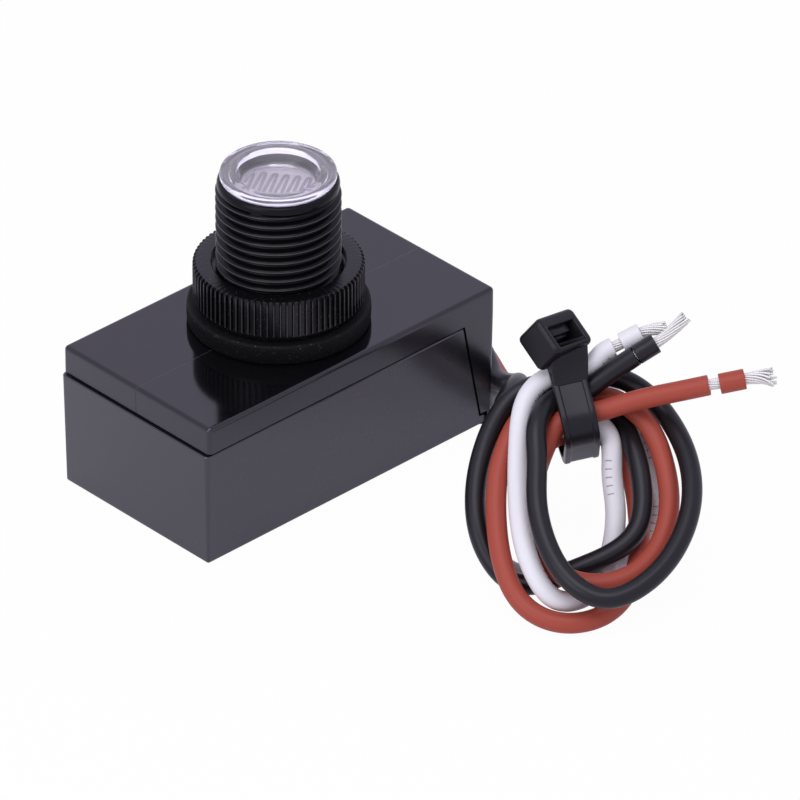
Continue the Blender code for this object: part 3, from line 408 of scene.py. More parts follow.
def piece(name, mesh, body, look, stands_for, sharp=SHARP_ANGLE):
    """Places a mesh as a piece that rides on a body, stands for a solid and takes its finish from a slot."""
    mesh.materials.clear()
    mesh.materials.append(look)
    mesh.shade_smooth()
    mesh.set_sharp_from_angle(angle=radians(sharp))
    thing = add_object(name, mesh)
    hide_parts(stands_for)
    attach(thing, body)
    return thing


def turned(name, profile, sides, x=0.0, y=0.0):
    """A solid of revolution: each (radius, z) point of the closed outline goes round the axis."""
    profile = np.array(profile, float)
    rows = wound(profile[:, :1], circle(sides), profile[:, 1:]) + np.array((x, y, 0.0))
    return surface(name, rows, ring=True)


def bowed(a, b, c, t):
    """The quadratic curve from a to c that b pulls: (1 - t)^2 a + 2 t (1 - t) b + t^2 c."""
    return (1 - t) ** 2 * a + 2 * t * (1 - t) * b + t ** 2 * c


def rounded(points, radius, steps=4):
    """A closed outline with each corner rounded by a quadratic curve between points on its two sides."""
    points = np.array(points, float)
    radii = np.broadcast_to(np.array(radius, float), len(points))
    back, ahead = np.roll(points, 1, axis=0) - points, np.roll(points, -1, axis=0) - points
    back_len, ahead_len = np.linalg.norm(back, axis=1), np.linalg.norm(ahead, axis=1)
    reach = np.minimum(radii, 0.45 * np.minimum(back_len, ahead_len))[:, None]
    start = points + back / back_len[:, None] * reach
    end = points + ahead / ahead_len[:, None] * reach
    t = np.linspace(0, 1, steps + 1)[None, :, None]
    return bowed(start[:, None], points[:, None], end[:, None], t).reshape(-1, 2)


def on_axis(outline):
    """The outline with its points by the axis set on it."""
    outline[np.abs(outline[:, 0]) < 0.01, 0] = 0.0
    return outline


def smooth(points, count):
    """A natural cubic spline through the points, read at even steps of its parameter."""
    points = np.array(points, float)
    size = len(points)
    gaps = np.linalg.norm(np.diff(points, axis=0), axis=1) ** 0.7
    knots = np.concatenate(([0.0], np.cumsum(gaps)))
    system = np.eye(size)
    target = np.zeros((size, 3))
    for i in range(1, size - 1):
        before, after = gaps[i - 1], gaps[i]
        system[i, i - 1:i + 2] = before, 2 * (before + after), after
        target[i] = 6 * ((points[i + 1] - points[i]) / after - (points[i] - points[i - 1]) / before)
    bends = np.linalg.solve(system, target)
    place = np.linspace(0.0, knots[-1], count)
    i = np.clip(np.searchsorted(knots, place, side="right") - 1, 0, size - 2)
    gap = gaps[i]
    low = (knots[i + 1] - place) / gap
    high = 1 - low
    curve = low[:, None] * points[i] + high[:, None] * points[i + 1]
    pull = (low ** 3 - low)[:, None] * bends[i] + (high ** 3 - high)[:, None] * bends[i + 1]
    return curve + pull * (gap ** 2)[:, None] / 6


def tangents(path):
    """The direction of a path at each of its points."""
    steps = np.gradient(path, axis=0)
    return steps / np.linalg.norm(steps, axis=1)[:, None]


def frames(path):
    """Side and up at each station; the side is carried along the path without twist."""
    tangent = tangents(path)
    side = np.cross(tangent[0], (0.0, 0.0, 1.0))
    sides = []
    for t in tangent:
        side = unit(side - t * side.dot(t))
        sides.append(side)
    sides = np.array(sides)
    return sides, np.cross(tangent, sides)


def tube(path, radii):
    """A round tube's rows, at each station a circle across the path."""
    side, up = frames(path)
    angle = circle(LEAD_SIDES)
    spoke = np.cos(angle)[:, None] * side[:, None] + np.sin(angle)[:, None] * up[:, None]
    return path[:, None] + radii[:, None, None] * spoke


def frame_of_hank():
    """The hank's directions: u across, v up the slope of its loops, w out of their plane."""
    turn, lean = radians(HANK_TURN), radians(HANK_LEAN)
    u = np.array((cos(turn), sin(turn), 0.0))
    away = np.array((-sin(turn), cos(turn), 0.0))
    v = cos(lean) * away + sin(lean) * np.array((0.0, 0.0, 1.0))
    return u, v, np.cross(u, v)


def hank(point):
    """A point given as (u, v, w) from the tie's middle, in world millimetres."""
    u, v, w = frame_of_hank()
    return np.array(TIE_AT) + point[0] * u + point[1] * v + point[2] * w


def through_tie(slot):
    """Two points that carry a lead straight through its place in the bundle; a slot is (row, column)."""
    tilt = radians(BUNDLE_TILT)
    rise = slot[0] * BUNDLE_PITCH
    return [hank((along * cos(tilt) - rise * sin(tilt), along * sin(tilt) + rise * cos(tilt),
                  slot[1] * BUNDLE_PITCH)) for along in (-STRAIGHT_HALF, STRAIGHT_HALF)]


def lead_way(colour):
    """A lead's centreline in equal steps, from inside the cover to the cut end of its insulation."""
    route = ROUTES[colour]
    points = [np.array((LENGTH / 2 + x, y, z)) for x, y, z in route["exit"]]
    points += [hank(p) for p in route["near"]]
    for slot, onward in zip(route["slots"], [*route["turns"], route["tail"]]):
        points += through_tie(slot)
        points += [hank(p) for p in onward]
    curve = smooth(points, LEAD_CURVE_POINTS)
    run = lengths(curve)
    return read_at(np.linspace(0.0, run[-1], LEAD_STATIONS), run, curve)


def insulation(name, path, bore=0.0):
    """A sleeve of insulation, solid or with a bore. At each end its radius is
    R - e (1 - sqrt(1 - (1 - s)^2)), a quarter circle of radius e, with s the share of e from the cut face."""
    step = np.array(END_STEPS)
    quarter = LEAD_R - END_ROUND * (1 - np.sqrt(1 - (1 - step) ** 2))
    run = lengths(path)
    between = run[(run > 2 * END_ROUND) & (run < run[-1] - 2 * END_ROUND)]
    stations = np.concatenate((step * END_ROUND, between, run[-1] - step[::-1] * END_ROUND))
    line = read_at(stations, run, path)
    rows = tube(line, np.concatenate((quarter, np.full(len(between), LEAD_R), quarter[::-1])))
    way = lengths(line)
    if not bore:
        return surface(name, rows, poles=True, along=way)
    inner = tube(line, np.full(len(line), bore))
    rows = np.concatenate((rows, inner[::-1]))
    return surface(name, rows, ring=True, along=np.concatenate((way, way[::-1])))


def strands(name, path, fray, seed):
    """Nineteen tinned wires in rings of one, six and twelve: each winds round the path as a helix.

    A wire's distance from the middle is c (1 + f s) + k s, with c its ring's radius, f the swell, k its share
    of the fray and s the square of the way past the bundle's half. Its end is cut a little short.
    """
    dice = np.random.default_rng(seed)
    radii, counts = zip(*WIRE_RINGS)
    ring_r = np.repeat(radii, counts)[:, None]
    start = np.concatenate([circle(count) for count in counts])[:, None]
    wires = len(ring_r)
    share = dice.uniform(FRAY_LEAST, 1.0, wires)[:, None] * fray
    veer = dice.uniform(-1.0, 1.0, wires)[:, None] * FRAY_VEER * fray
    short = dice.uniform(0.0, WIRE_SHORT, wires)[:, None]
    t = np.linspace(0, 1, WIRE_STATIONS) * (1 - short)
    line = smooth(path, BARE_CURVE_POINTS)
    run = lengths(line)
    place = t * run[-1]
    middle, across, over = [read_at(place, run, points) for points in (line, *frames(line))]
    loose = np.clip((t - WIRE_OPENS) / (1 - WIRE_OPENS), 0, 1) ** 2
    turn = start + 2 * pi * place / WIRE_LAY + veer * loose
    reach = ring_r * (1 + FRAY_SWELL * loose) + share * loose
    centre = middle + reach[..., None] * (np.cos(turn)[..., None] * across + np.sin(turn)[..., None] * over)
    centre[..., 2] -= FRAY_DROOP * fray * loose * share
    angle = circle(WIRE_SIDES)
    spoke = np.cos(angle)[:, None] * across[:, :, None] + np.sin(angle)[:, None] * over[:, :, None]
    rows = centre[:, :, None] + WIRE_R * spoke
    return together(name, [surface(name, wire, poles=True) for wire in rows])


def perimeter(x_low, x_high, half_y, stops, square_end=False):
    """The housing's outline from above, as a ring that inward() can move in, and the seam's height at each
    point. stops are (x, height) on both long sides, in the order of falling x."""
    points, normals, pulls, heights = [], [], [], []

    def add(x, y, nx, ny, z, pull=None):
        points.append((x, y))
        normals.append((nx, ny))
        pulls.append(pull or (nx, ny))
        heights.append(z)

    def corner(cx, cy, start, z):
        middle = start + pi / 4
        pull = (np.sign(cos(middle)), np.sign(sin(middle)))
        for a in QUARTER + start:
            add(cx + CORNER_R * cos(a), cy + CORNER_R * sin(a), cos(a), sin(a), z, pull)

    end_z, back_z = stops[0][1], stops[-1][1]
    if square_end:
        add(x_high, half_y, 0, 1, end_z)
    else:
        corner(x_high - CORNER_R, half_y - CORNER_R, 0, end_z)
    for x, z in stops:
        add(x, half_y, 0, 1, z)
    corner(x_low + CORNER_R, half_y - CORNER_R, pi / 2, back_z)
    corner(x_low + CORNER_R, -half_y + CORNER_R, pi, back_z)
    for x, z in stops[::-1]:
        add(x, -half_y, 0, -1, z)
    if square_end:
        add(x_high, -half_y, 0, -1, end_z)
        add(x_high, -half_y, 0, 0, FLOOR)
        add(x_high, half_y, 0, 0, FLOOR)
    else:
        corner(x_high - CORNER_R, -half_y + CORNER_R, 1.5 * pi, end_z)
    return [np.array(part, float) for part in (points, normals, pulls)], np.array(heights, float)


def inward(ring, depth):
    """The outline moved in by a depth: p - n min(d, R) - q max(d - R, 0), with n the normal, q the corner's
    pull and R its radius, so that a corner's arc shrinks to a point and then moves in."""
    points, normals, pulls = ring
    depth = np.broadcast_to(np.asarray(depth, float), len(points))[:, None]
    return points - normals * np.minimum(depth, CORNER_R) - pulls * np.maximum(depth - CORNER_R, 0.0)


def wall_inset(z):
    """How far a wall lies inside its outline at a height: the lower walls' draft plus the base's round."""
    draft = DRAFT * np.clip(1 - z / PARTING_Z, 0, 1)
    near = np.clip(1 - z / BASE_FILLET, 0, 1)
    return draft + BASE_FILLET * (1 - np.sqrt(1 - near ** 2))


def cover_mesh():
    """The upper moulding: each column climbs the wall from the seam, rounds the top edge, crosses the plate
    to the stem, and comes back along the inside."""
    foot = SEAM_FOOT_Z + SEAM
    stops = [(TRAY_TOE_X + SEAM, 0.0), (TRAY_TOE_X + SEAM, foot), (SEAM_FOOT_X + SEAM, foot),
             (SEAM_TOP_X + SEAM, PARTING_Z + SEAM)]
    ring, low = perimeter(-LENGTH / 2 + TRAY_PROUD, LENGTH / 2, WIDTH / 2, stops)
    shoulder_z, roof_z = HEIGHT - TOP_FILLET, HEIGHT - WALL
    rows = []
    for t in (0.0, 0.004, 0.012, 0.025, 0.04, *np.linspace(0.1, 0.98, 7), 1.0):
        z = low + t * (shoulder_z - low)
        rows.append(level(inward(ring, wall_inset(z) + (0.0 if t else LIP_ROUND)), z))
    for a in QUARTER[1:]:
        rows.append(level(inward(ring, TOP_FILLET * (1 - cos(a))), shoulder_z + TOP_FILLET * sin(a)))
    rim = inward(ring, TOP_FILLET + HOLD)
    hole = PLATE_HOLE_R * rim / np.linalg.norm(rim, axis=1)[:, None]
    rows += [level(rim + f * (hole - rim), HEIGHT) for f in (0.0, 0.3, 1.0)]
    rows.append(level(hole, roof_z))
    rows += [level(inward(ring, WALL), roof_z + t * (low - roof_z)) for t in (0.0, 0.5, 1.0)]
    shell = surface("housing_cover_shell", rows, ring=True)
    angle = circle(32)
    spoke = (LEAD_R + HOLE_CLEARANCE) * np.column_stack((0 * angle, np.cos(angle), np.sin(angle)))
    cutters = []
    for y in LEAD_EXITS:
        ends = [np.array((x, y, LEAD_Z)) + spoke for x in (LENGTH / 2 - 2 * WALL, LENGTH / 2 + WALL)]
        cutters.append(surface("hole", ends, poles=True))
    return cut(shell, cutters)


def tray_mesh():
    """The lower moulding: each column runs from under the floor round the base's edge, up the wall to the
    seam, over the low ledge that stands behind it and shuts out light, and down the inside."""
    stops = [(SEAM_FOOT_X, SEAM_FOOT_Z), (SEAM_TOP_X, PARTING_Z)]
    ring, high = perimeter(-LENGTH / 2, TRAY_TOE_X, WIDTH / 2, stops, square_end=True)
    heights = [*(BASE_FILLET * (1 - np.cos(QUARTER))),
               *[BASE_FILLET + t * (high - BASE_FILLET) for t in (0.02, 0.25, 0.5, 0.75, 0.99)]]
    rows = [level(0.5 * ring[0], 0.0), *[level(inward(ring, wall_inset(z)), z) for z in heights]]
    inset = wall_inset(high)
    ledge = WALL + LEDGE_GAP + inset
    for depth, rise in ((LIP_ROUND + inset, 0.0), (ledge, 0.0), (ledge, LEDGE_RISE),
                        (ledge + LEDGE, LEDGE_RISE), (ledge + LEDGE, 0.0)):
        rows.append(level(inward(ring, depth), high + np.where(high > FLOOR, rise, 0.0)))
    rows += [level(inward(ring, WALL + DRAFT), FLOOR), level(0.5 * ring[0], FLOOR)]
    return surface("housing_tray_shell", rows, poles=True)


def thread_height(angle, z):
    """The ridge of a helical thread, from 0 in its valley to 1 on its crest, with a little round on both."""
    phase = (z - THREAD_START_Z) / THREAD_PITCH - angle / (2 * pi) - 0.5
    away = np.abs((phase + 0.5) % 1 - 0.5) * 2
    flank = np.clip((away - CREST_FLAT) / FLANK, 0, 1)
    return 1 - (0.6 * flank + 0.4 * flank ** 2 * (3 - 2 * flank))


def ramp(x, low, high):
    """A smooth step from 0 at low to 1 at high."""
    t = np.clip((x - low) / (high - low), 0, 1)
    return t * t * (3 - 2 * t)


def stem_mesh():
    """The hollow stem. Its outer radius is the greater of the thread, root + depth * ridge, which fades in
    above the plate and out under the top, and of the collar that grows there. The rim is a quarter
    ellipse."""
    angle = circle(STEM_SIDES)[None, :]
    foot_z = HEIGHT - STEM_SINK
    z = np.linspace(foot_z, STEM_SHOULDER_Z - 0.02, STEM_ROWS)[:, None]
    root = THREAD_R - THREAD_DEPTH
    fade_in = ramp(z, THREAD_START_Z - 0.1, THREAD_START_Z + 0.5)
    fade_out = 1 - ramp(z, THREAD_END_Z - 0.5, THREAD_END_Z + 0.5)
    thread = root + THREAD_DEPTH * thread_height(angle, z) * fade_in * fade_out
    collar = root + (STEM_SHOULDER_R - root) * ramp(z, THREAD_END_Z - 0.35, THREAD_END_Z + 0.15)
    rise = STEM_TOP_Z - STEM_SHOULDER_Z
    rim = [(STEM_SHOULDER_R - STEM_RIM_ROUND * (1 - cos(a)), STEM_SHOULDER_Z + rise * sin(a))
           for a in np.linspace(0, pi / 2, 9)]
    rim += [(STEM_BORE_R + STEM_MOUTH_ROUND, STEM_TOP_Z), (STEM_BORE_R, STEM_TOP_Z - STEM_MOUTH_ROUND),
            (STEM_BORE_R, 30.0), (STEM_BORE_R, foot_z)]
    rim = np.array(rim)
    rows = np.concatenate((wound(np.maximum(thread, collar), angle, z), wound(rim[:, :1], angle, rim[:, 1:])))
    return surface("threaded_stem", rows, ring=True)


def nut_mesh():
    """The ring nut: a profile of (radius, height, share of the ridges) is turned, with the ridges' height
    taken off the radius by the angle, and a thread of the stem's own phase inside."""
    angle = circle(NUT_RIDGES * NUT_RIDGE_SIDES)[None, :]
    place = np.abs((angle * NUT_RIDGES / (2 * pi)) % 1 - 0.5) * 2
    groove = 1 - ramp(place, *NUT_GROOVE)
    low, high = NUT_LOW_Z, NUT_HIGH_Z
    foot = NUT_R - NUT_RIDGE_DEPTH
    bore, floor_z = NUT_COUNTERBORE_R, high - NUT_COUNTERBORE_DEPTH
    outside = np.array([
        (foot - 0.3, low, 0.0), (foot - 0.08, low + 0.08, 0.0), (foot, low + 0.3, 0.0),
        (foot, low + NUT_FOOT - 0.1, 0.0), (NUT_R, low + NUT_FOOT, 1.0), (NUT_R, low + 2.6, 1.0),
        (NUT_R, high - 1.4, 1.0), (NUT_R - 0.02, high - 0.34, 1.0), (NUT_R - 0.14, high - 0.12, 0.8),
        (NUT_R - 0.32, high - 0.03, 0.35), (NUT_R - 0.5, high, 0.0), (bore + 0.15, high, 0.0),
        (bore, high - 0.15, 0.0), (bore, floor_z, 0.0)])
    radius = outside[:, :1] - NUT_RIDGE_DEPTH * outside[:, 2:] * groove
    crest = THREAD_R + NUT_CLEARANCE
    z = np.linspace(floor_z - 0.05, low + 0.4, NUT_THREAD_ROWS)[:, None]
    inner = crest - THREAD_DEPTH * (1 - thread_height(angle, z))
    lead_in = np.array((low + 0.3, low))[:, None]
    rows = np.concatenate((wound(radius, angle, outside[:, 1:2]), wound(inner, angle, z),
                           wound(crest + 0 * lead_in, angle, lead_in)))
    return surface("lock_nut_ring", rows, ring=True)


def washer_mesh():
    """The rubber ring: a rounded rectangle turned about the stem, a little full in the middle of its edge."""
    low, high = WASHER_LOW_Z, WASHER_HIGH_Z
    outline = rounded([(WASHER_BORE_R, low), (WASHER_R - 0.12, low), (WASHER_R, 0.5 * (low + high)),
                       (WASHER_R - 0.1, high), (WASHER_BORE_R, high)], (0.1, 0.4, 1.0, 0.45, 0.1))
    return turned("sealing_washer_ring", outline, 200)


def lens_mesh():
    """The clear cap, turned: a ring with a shallow groove on the stem's rim, a recess whose wall leans in to
    the window, and the skirt that goes down the bore."""
    outline = [(0.0, LENS_WINDOW_Z), (LENS_SKIRT_BORE_R, LENS_WINDOW_Z), (LENS_SKIRT_BORE_R, LENS_SKIRT_Z),
               (LENS_SKIRT_R, LENS_SKIRT_Z), (LENS_SKIRT_R, LENS_FOOT_Z), (LENS_R - 0.2, LENS_FOOT_Z),
               *LENS_RING, (LENS_DISH_R, LENS_DISH_Z), (LENS_DISH_FOOT_R, LENS_FLOOR_Z), (0.0, LENS_FLOOR_Z)]
    radii = (0.001, 0.25, 0.15, 0.15, 0.1, 0.25, *[0.2] * len(LENS_RING), 0.12, 0.3, 0.001)
    return turned("lens_cap", on_axis(rounded(outline, radii)), 192)


def on_cell(x, y):
    """A point or points given along and across the cell's track, turned to the housing's X and Y."""
    turn = radians(CELL_TURN)
    return x * cos(turn) - y * sin(turn), x * sin(turn) + y * cos(turn)


def cell_mesh():
    """The ceramic disc, turned, with rounded edges, and the domes over its two contacts."""
    outline = rounded([(0.0, CELL_Z), (CELL_R, CELL_Z), (CELL_R, CELL_TOP_Z), (0.0, CELL_TOP_Z)],
                      (0.001, 0.3, 0.3, 0.001))
    dome = [(r, CELL_TOP_Z + z) for r, z in CONTACT_DOME]
    contacts = [turned("contact", dome, 24, *on_cell(*place)) for place in CONTACTS]
    return together("light_cell_disc", [turned("disc", on_axis(outline), 96), *contacts])


def track_mesh():
    """The cell's serpentine, a flat band whose edges lean in: a sine with its shoulders squared,
    tanh(k sin(2 pi n t)) / tanh(k), across the disc and cut to its round."""
    t = np.linspace(0, 1, TRACK_STATIONS)
    wave = np.tanh(TRACK_SQUARE * np.sin(2 * pi * TRACK_TURNS * t)) / np.tanh(TRACK_SQUARE)
    across = TRACK_SPAN * (2 * t - 1)
    room = np.sqrt(np.clip((CELL_R - TRACK_MARGIN) ** 2 - across ** 2, 0.0, None))
    path = level(np.column_stack(on_cell(across, np.minimum(room, TRACK_REACH) * wave)), CELL_TOP_Z - 0.02)
    side = TRACK_HALF * np.cross(tangents(path), (0.0, 0.0, 1.0))
    up = np.array((0.0, 0.0, TRACK_THICK))
    rows = np.stack([path - side, path + side, path + side * 0.8 + up, path - side * 0.8 + up], axis=1)
    return surface("light_cell_track", rows, poles=True)


def placed(mesh, origin, axes):
    """Moves a mesh built round the origin to a frame given by three directions."""
    turn = Matrix([list(row) for row in np.array(axes).T]).to_4x4()
    turn.translation = Vector(origin) * MM
    mesh.transform(turn)
    return mesh


def arcs(corners, steps):
    """A closed outline's points and outward normals, from its corners as (x, y, radius, first degree)."""
    points, normals = [], []
    for x, y, radius, start in corners:
        angle = np.radians(start + np.linspace(0, 90, steps))
        spoke = np.column_stack((np.cos(angle), np.sin(angle)))
        points.append(np.array((x, y)) + radius * spoke)
        normals.append(spoke)
    return np.concatenate(points), np.concatenate(normals)


def strap_loop():
    """The strap's inner outline across the bundle as points and outward normals: close corners at the head's
    side, rounder ones where it sags."""
    half = BUNDLE_PITCH + LEAD_R + TIE_CLEARANCE
    low = -half - TIE_SAG
    back = -half - TIE_BACK
    corners = ((half - TIE_CORNER, half - TIE_CORNER, TIE_CORNER, 0),
               (low + TIE_SAG_CORNER, half - TIE_SAG_CORNER, TIE_SAG_CORNER, 90),
               (low + TIE_SAG_CORNER, back + TIE_SAG_CORNER, TIE_SAG_CORNER, 180),
               (half - TIE_CORNER, back + TIE_CORNER, TIE_CORNER, 270))
    return arcs(corners, 19)


def strap_mesh():
    """The strap: a rounded rectangle carried round the loop, with a shallow channel down the middle of its
    outer face between two rails."""
    points, normals = strap_loop()
    half, face, floor = TIE_WIDTH / 2, TIE_THICK, TIE_THICK - TIE_CHANNEL
    rail, foot = half - TIE_RAIL, half - TIE_RAIL - 0.1
    section = rounded([(0.0, -half), (face, -half), (face, -rail), (floor, -foot), (floor, foot),
                       (face, rail), (face, half), (0.0, half)], (0.15, 0.32, 0.1, 0.1, 0.1, 0.1, 0.32, 0.15))
    flat = points[:, None] + normals[:, None] * section[None, :, :1]
    along = np.broadcast_to(section[None, :, 1:], (len(points), len(section), 1))
    return surface("tie_strap", np.concatenate((flat, along), axis=-1), ring=True)


def box_ring(half_x, half_y, radius):
    """A rounded rectangle's outline centred on the origin."""
    x, y = half_x - radius, half_y - radius
    return arcs(((x, y, radius, 0), (-x, y, radius, 90), (-x, -y, radius, 180), (x, -y, radius, 270)), 7)[0]


def bar(x, y, z, radius=0.12):
    """A block between two values of x, of y and of z, its upright edges rounded and its ends chamfered."""
    half_x, half_y = (x[1] - x[0]) / 2, (y[1] - y[0]) / 2
    ring = box_ring(half_x, half_y, radius)
    centre = np.array((x[0] + half_x, y[0] + half_y))
    shrink = 1 - radius / min(half_x, half_y)
    levels = ((shrink, z[0]), (1.0, z[0] + radius), (1.0, z[1] - radius), (shrink, z[1]))
    return surface("bar", [level(centre + f * ring, height) for f, height in levels], poles=True)


def head_axes():
    """The head's directions: down towards the strap, across it, and out of its slot."""
    wide = unit(np.array(TIE_HEAD_WIDE))
    deep = unit(np.array(TIE_HEAD_DEEP) - wide * np.dot(wide, TIE_HEAD_DEEP))
    return deep, wide, np.cross(deep, wide)


def head_mesh():
    """The tie's head: a block with rounded edges whose face turns down into the slot, and in the slot the
    strap's cut end and the toothed pawl."""
    half_x, half_y, half_z = TIE_HEAD_DOWN / 2, TIE_HEAD_ACROSS / 2, TIE_HEAD_THICK / 2
    turns = np.linspace(0, pi / 2, 6)
    edges = [(1 - sin(a), -half_z + TIE_HEAD_ROUND * (1 - cos(a))) for a in turns]
    edges += [(1 - cos(a), half_z - TIE_HEAD_ROUND * (1 - sin(a))) for a in turns]
    rows = []
    for share, z in edges:
        pull = TIE_HEAD_ROUND * share
        corner = max(TIE_HEAD_CORNER - pull, 0.2)
        rows.append(level(box_ring(half_x - pull, half_y - pull, corner), z))
    slot_x, slot_y = TIE_SLOT[1] / 2, TIE_SLOT[0] / 2
    middle = np.array((TIE_SLOT_SHIFT, 0.0))
    for grow, z in ((0.28, half_z), (0.1, half_z - 0.05), (0.0, half_z - 0.2), (0.0, -1.0)):
        rows.append(level(middle + box_ring(slot_x + grow, slot_y + grow, 0.22), z))
    low, high = TIE_SLOT_SHIFT - slot_x, TIE_SLOT_SHIFT + slot_x
    half = TIE_WIDTH / 2
    parts = [surface("tie_head", rows, poles=True),
             bar((high - TIE_THICK - 0.1, high - 0.1), (-half, half), (-1.2, 0.9)),
             bar((low - 0.2, low + 1.1), (-1.8, 1.8), (-1.2, 1.6)),
             *[bar((low + 0.9, low + 1.45), (-1.5, 1.5), (z, z + 0.4), 0.08) for z in (-0.7, -0.1, 0.5)]]
    return placed(together("tie_head", parts), hank(TIE_HEAD_AT), head_axes())


def neck_mesh(across, w, along):
    """The flare from the head's lower face to the strap: a rounded rectangle carried down a quadratic curve
    while it turns and shrinks to the strap's section."""
    deep, wide, up = head_axes()
    start = hank(TIE_HEAD_AT) + (TIE_HEAD_DOWN / 2 - TIE_NECK_SINK) * deep
    front = BUNDLE_PITCH + LEAD_R + TIE_CLEARANCE + TIE_THICK / 2
    end = np.array(TIE_AT) + TIE_NECK_FOOT * across + front * w
    bend = start + 2 * TIE_NECK_SINK * deep
    t = np.linspace(0, 1, 25)[:, None]
    late = 1 - (1 - t) ** 2
    middle = bowed(start, bend, end, t)
    side = (1 - late) * wide * (TIE_HEAD_ACROSS / 2 - 0.1) + late * along * TIE_WIDTH / 2
    rise = (1 - late) * up * (TIE_HEAD_THICK / 2 - 0.1) + late * w * TIE_THICK / 2
    corner = box_ring(1.0, 1.0, 0.3)
    rows = middle[:, None] + corner[None, :, :1] * side[:, None] + corner[None, :, 1:] * rise[:, None]
    return surface("tie_neck", rows, poles=True)


def tie_mesh():
    """The whole tie: the strap's loop, the head that it grows from and the neck between."""
    u, v, w = frame_of_hank()
    tilt = radians(BUNDLE_TILT)
    along = cos(tilt) * u + sin(tilt) * v
    across = cos(tilt) * v - sin(tilt) * u
    strap = placed(strap_mesh(), TIE_AT, (across, w, along))
    return together("tie_band", [strap, head_mesh(), neck_mesh(across, w, along)])


def new_group(name, inputs, outputs):
    """An empty shader group with its named sockets, and its input and output nodes."""
    group = bpy.data.node_groups.new(name, "ShaderNodeTree")
    for label, kind, value in inputs:
        socket = group.interface.new_socket(name=label, in_out="INPUT", socket_type=kind)
        if value is not None:
            socket.default_value = value
    for label, kind in outputs:
        group.interface.new_socket(name=label, in_out="OUTPUT", socket_type=kind)
    return group, group.nodes.new("NodeGroupInput"), group.nodes.new("NodeGroupOutput")


def feed(tree, made, inputs):
    """Fills a node's inputs, given by name or place: a socket is linked and anything else is a value."""
    for label, value in inputs.items():
        if isinstance(value, bpy.types.NodeSocket):
            tree.links.new(value, made.inputs[label])
        else:
            made.inputs[label].default_value = value


def node(tree, kind, inputs=None, **settings):
    """A new shader node with its settings and inputs; gives its outputs."""
    made = tree.nodes.new("ShaderNode" + kind)
    for name, value in settings.items():
        setattr(made, name, value)
    feed(tree, made, inputs or {})
    return made.outputs


def maths(tree, operation, *values):
    """A Math node on sockets or numbers; gives its output socket."""
    return node(tree, "Math", dict(enumerate(values)), operation=operation)[0]


def noise(tree, vector, scale, detail=2.0):
    """A noise texture's value on a vector socket, at a scale that is a number or a socket."""
    return node(tree, "TexNoise", {"Detail": detail, "Scale": scale, "Vector": vector})["Fac"]


def blend(tree, factor, first, second):
    """A colour from the first to the second by a factor socket; each is three numbers or a socket."""
    first, second = [(*tone, 1.0) if isinstance(tone, tuple) else tone for tone in (first, second)]
    return node(tree, "Mix", {"A": first, "B": second, "Factor": factor}, data_type="RGBA")["Result"]


def object_axes(tree):
    """The sockets of a place on the object, one for each axis."""
    return node(tree, "SeparateXYZ", {0: node(tree, "TexCoord")["Object"]})


def moulded_skin():
    """Moulded plastic's skin: cloudy roughness, pale dust, long waves and a fine grain in the surface."""
    plain = (("Roughness", 0.3), ("Cloud", 0.06), ("Grain", 0.1), ("Grain Size", 9000.0), ("Wave", 0.2),
             ("Dust", 0.0), ("Line", 0.0))
    group, entry, leave = new_group(
        "moulded_skin",
        [("Colour", "NodeSocketColor", (0.02, 0.02, 0.02, 1.0)),
         *[(label, "NodeSocketFloat", value) for label, value in plain]],
        [("Base Color", "NodeSocketColor"), ("Roughness", "NodeSocketFloat"), ("Normal", "NodeSocketVector")])
    given = entry.outputs
    place = node(group, "TexCoord")["Object"]
    cloud = maths(group, "SUBTRACT", noise(group, place, CLOUD_SCALE, 3.0), 0.5)
    rough = maths(group, "MULTIPLY_ADD", cloud, given["Cloud"], given["Roughness"])
    fine = noise(group, place, given["Grain Size"])
    wave = maths(group, "MULTIPLY", noise(group, place, WAVE_SCALE, 1.0), given["Wave"])
    height = maths(group, "ADD", maths(group, "MULTIPLY_ADD", fine, given["Grain"], wave), given["Line"])
    normal = node(group, "Bump", {**BUMP, "Height": height})["Normal"]
    speck = maths(group, "GREATER_THAN", noise(group, place, DUST_SCALE, 1.0), DUST_ABOVE)
    speck = maths(group, "MULTIPLY", speck, given["Dust"])
    colour = blend(group, speck, given["Colour"], DUST_COLOUR)
    feed(group, leave, {"Base Color": colour, "Roughness": rough, "Normal": normal})
    return group


def crest_highlight():
    """A mask for a painted highlight on a round piece's outermost skin: (r - radius) / width, kept from 0 to
    1, with r the distance from the stem's axis."""
    group, entry, leave = new_group("crest_highlight", [("Radius", "NodeSocketFloat", 0.01),
                                                   ("Width", "NodeSocketFloat", 0.0001)],
                                    [("Mask", "NodeSocketFloat")])
    axes = object_axes(group)
    squares = [maths(group, "MULTIPLY", axes[axis], axes[axis]) for axis in "XY"]
    reach = maths(group, "SQRT", maths(group, "ADD", *squares))
    past = maths(group, "SUBTRACT", reach, entry.outputs["Radius"])
    mask = maths(group, "DIVIDE", past, entry.outputs["Width"])
    feed(group, leave, {"Mask": maths(group, "MINIMUM", maths(group, "MAXIMUM", mask, 0.0), 1.0)})
    return group


def crests(radius, width):
    """The mask of a painted highlight on a round piece's crests past a radius in millimetres, as a function
    of a material's tree.
    """
    inputs = {"Radius": radius * MM, "Width": width * MM}
    return lambda tree: node(tree, "Group", inputs, node_tree=CREST_HIGHLIGHT)["Mask"]


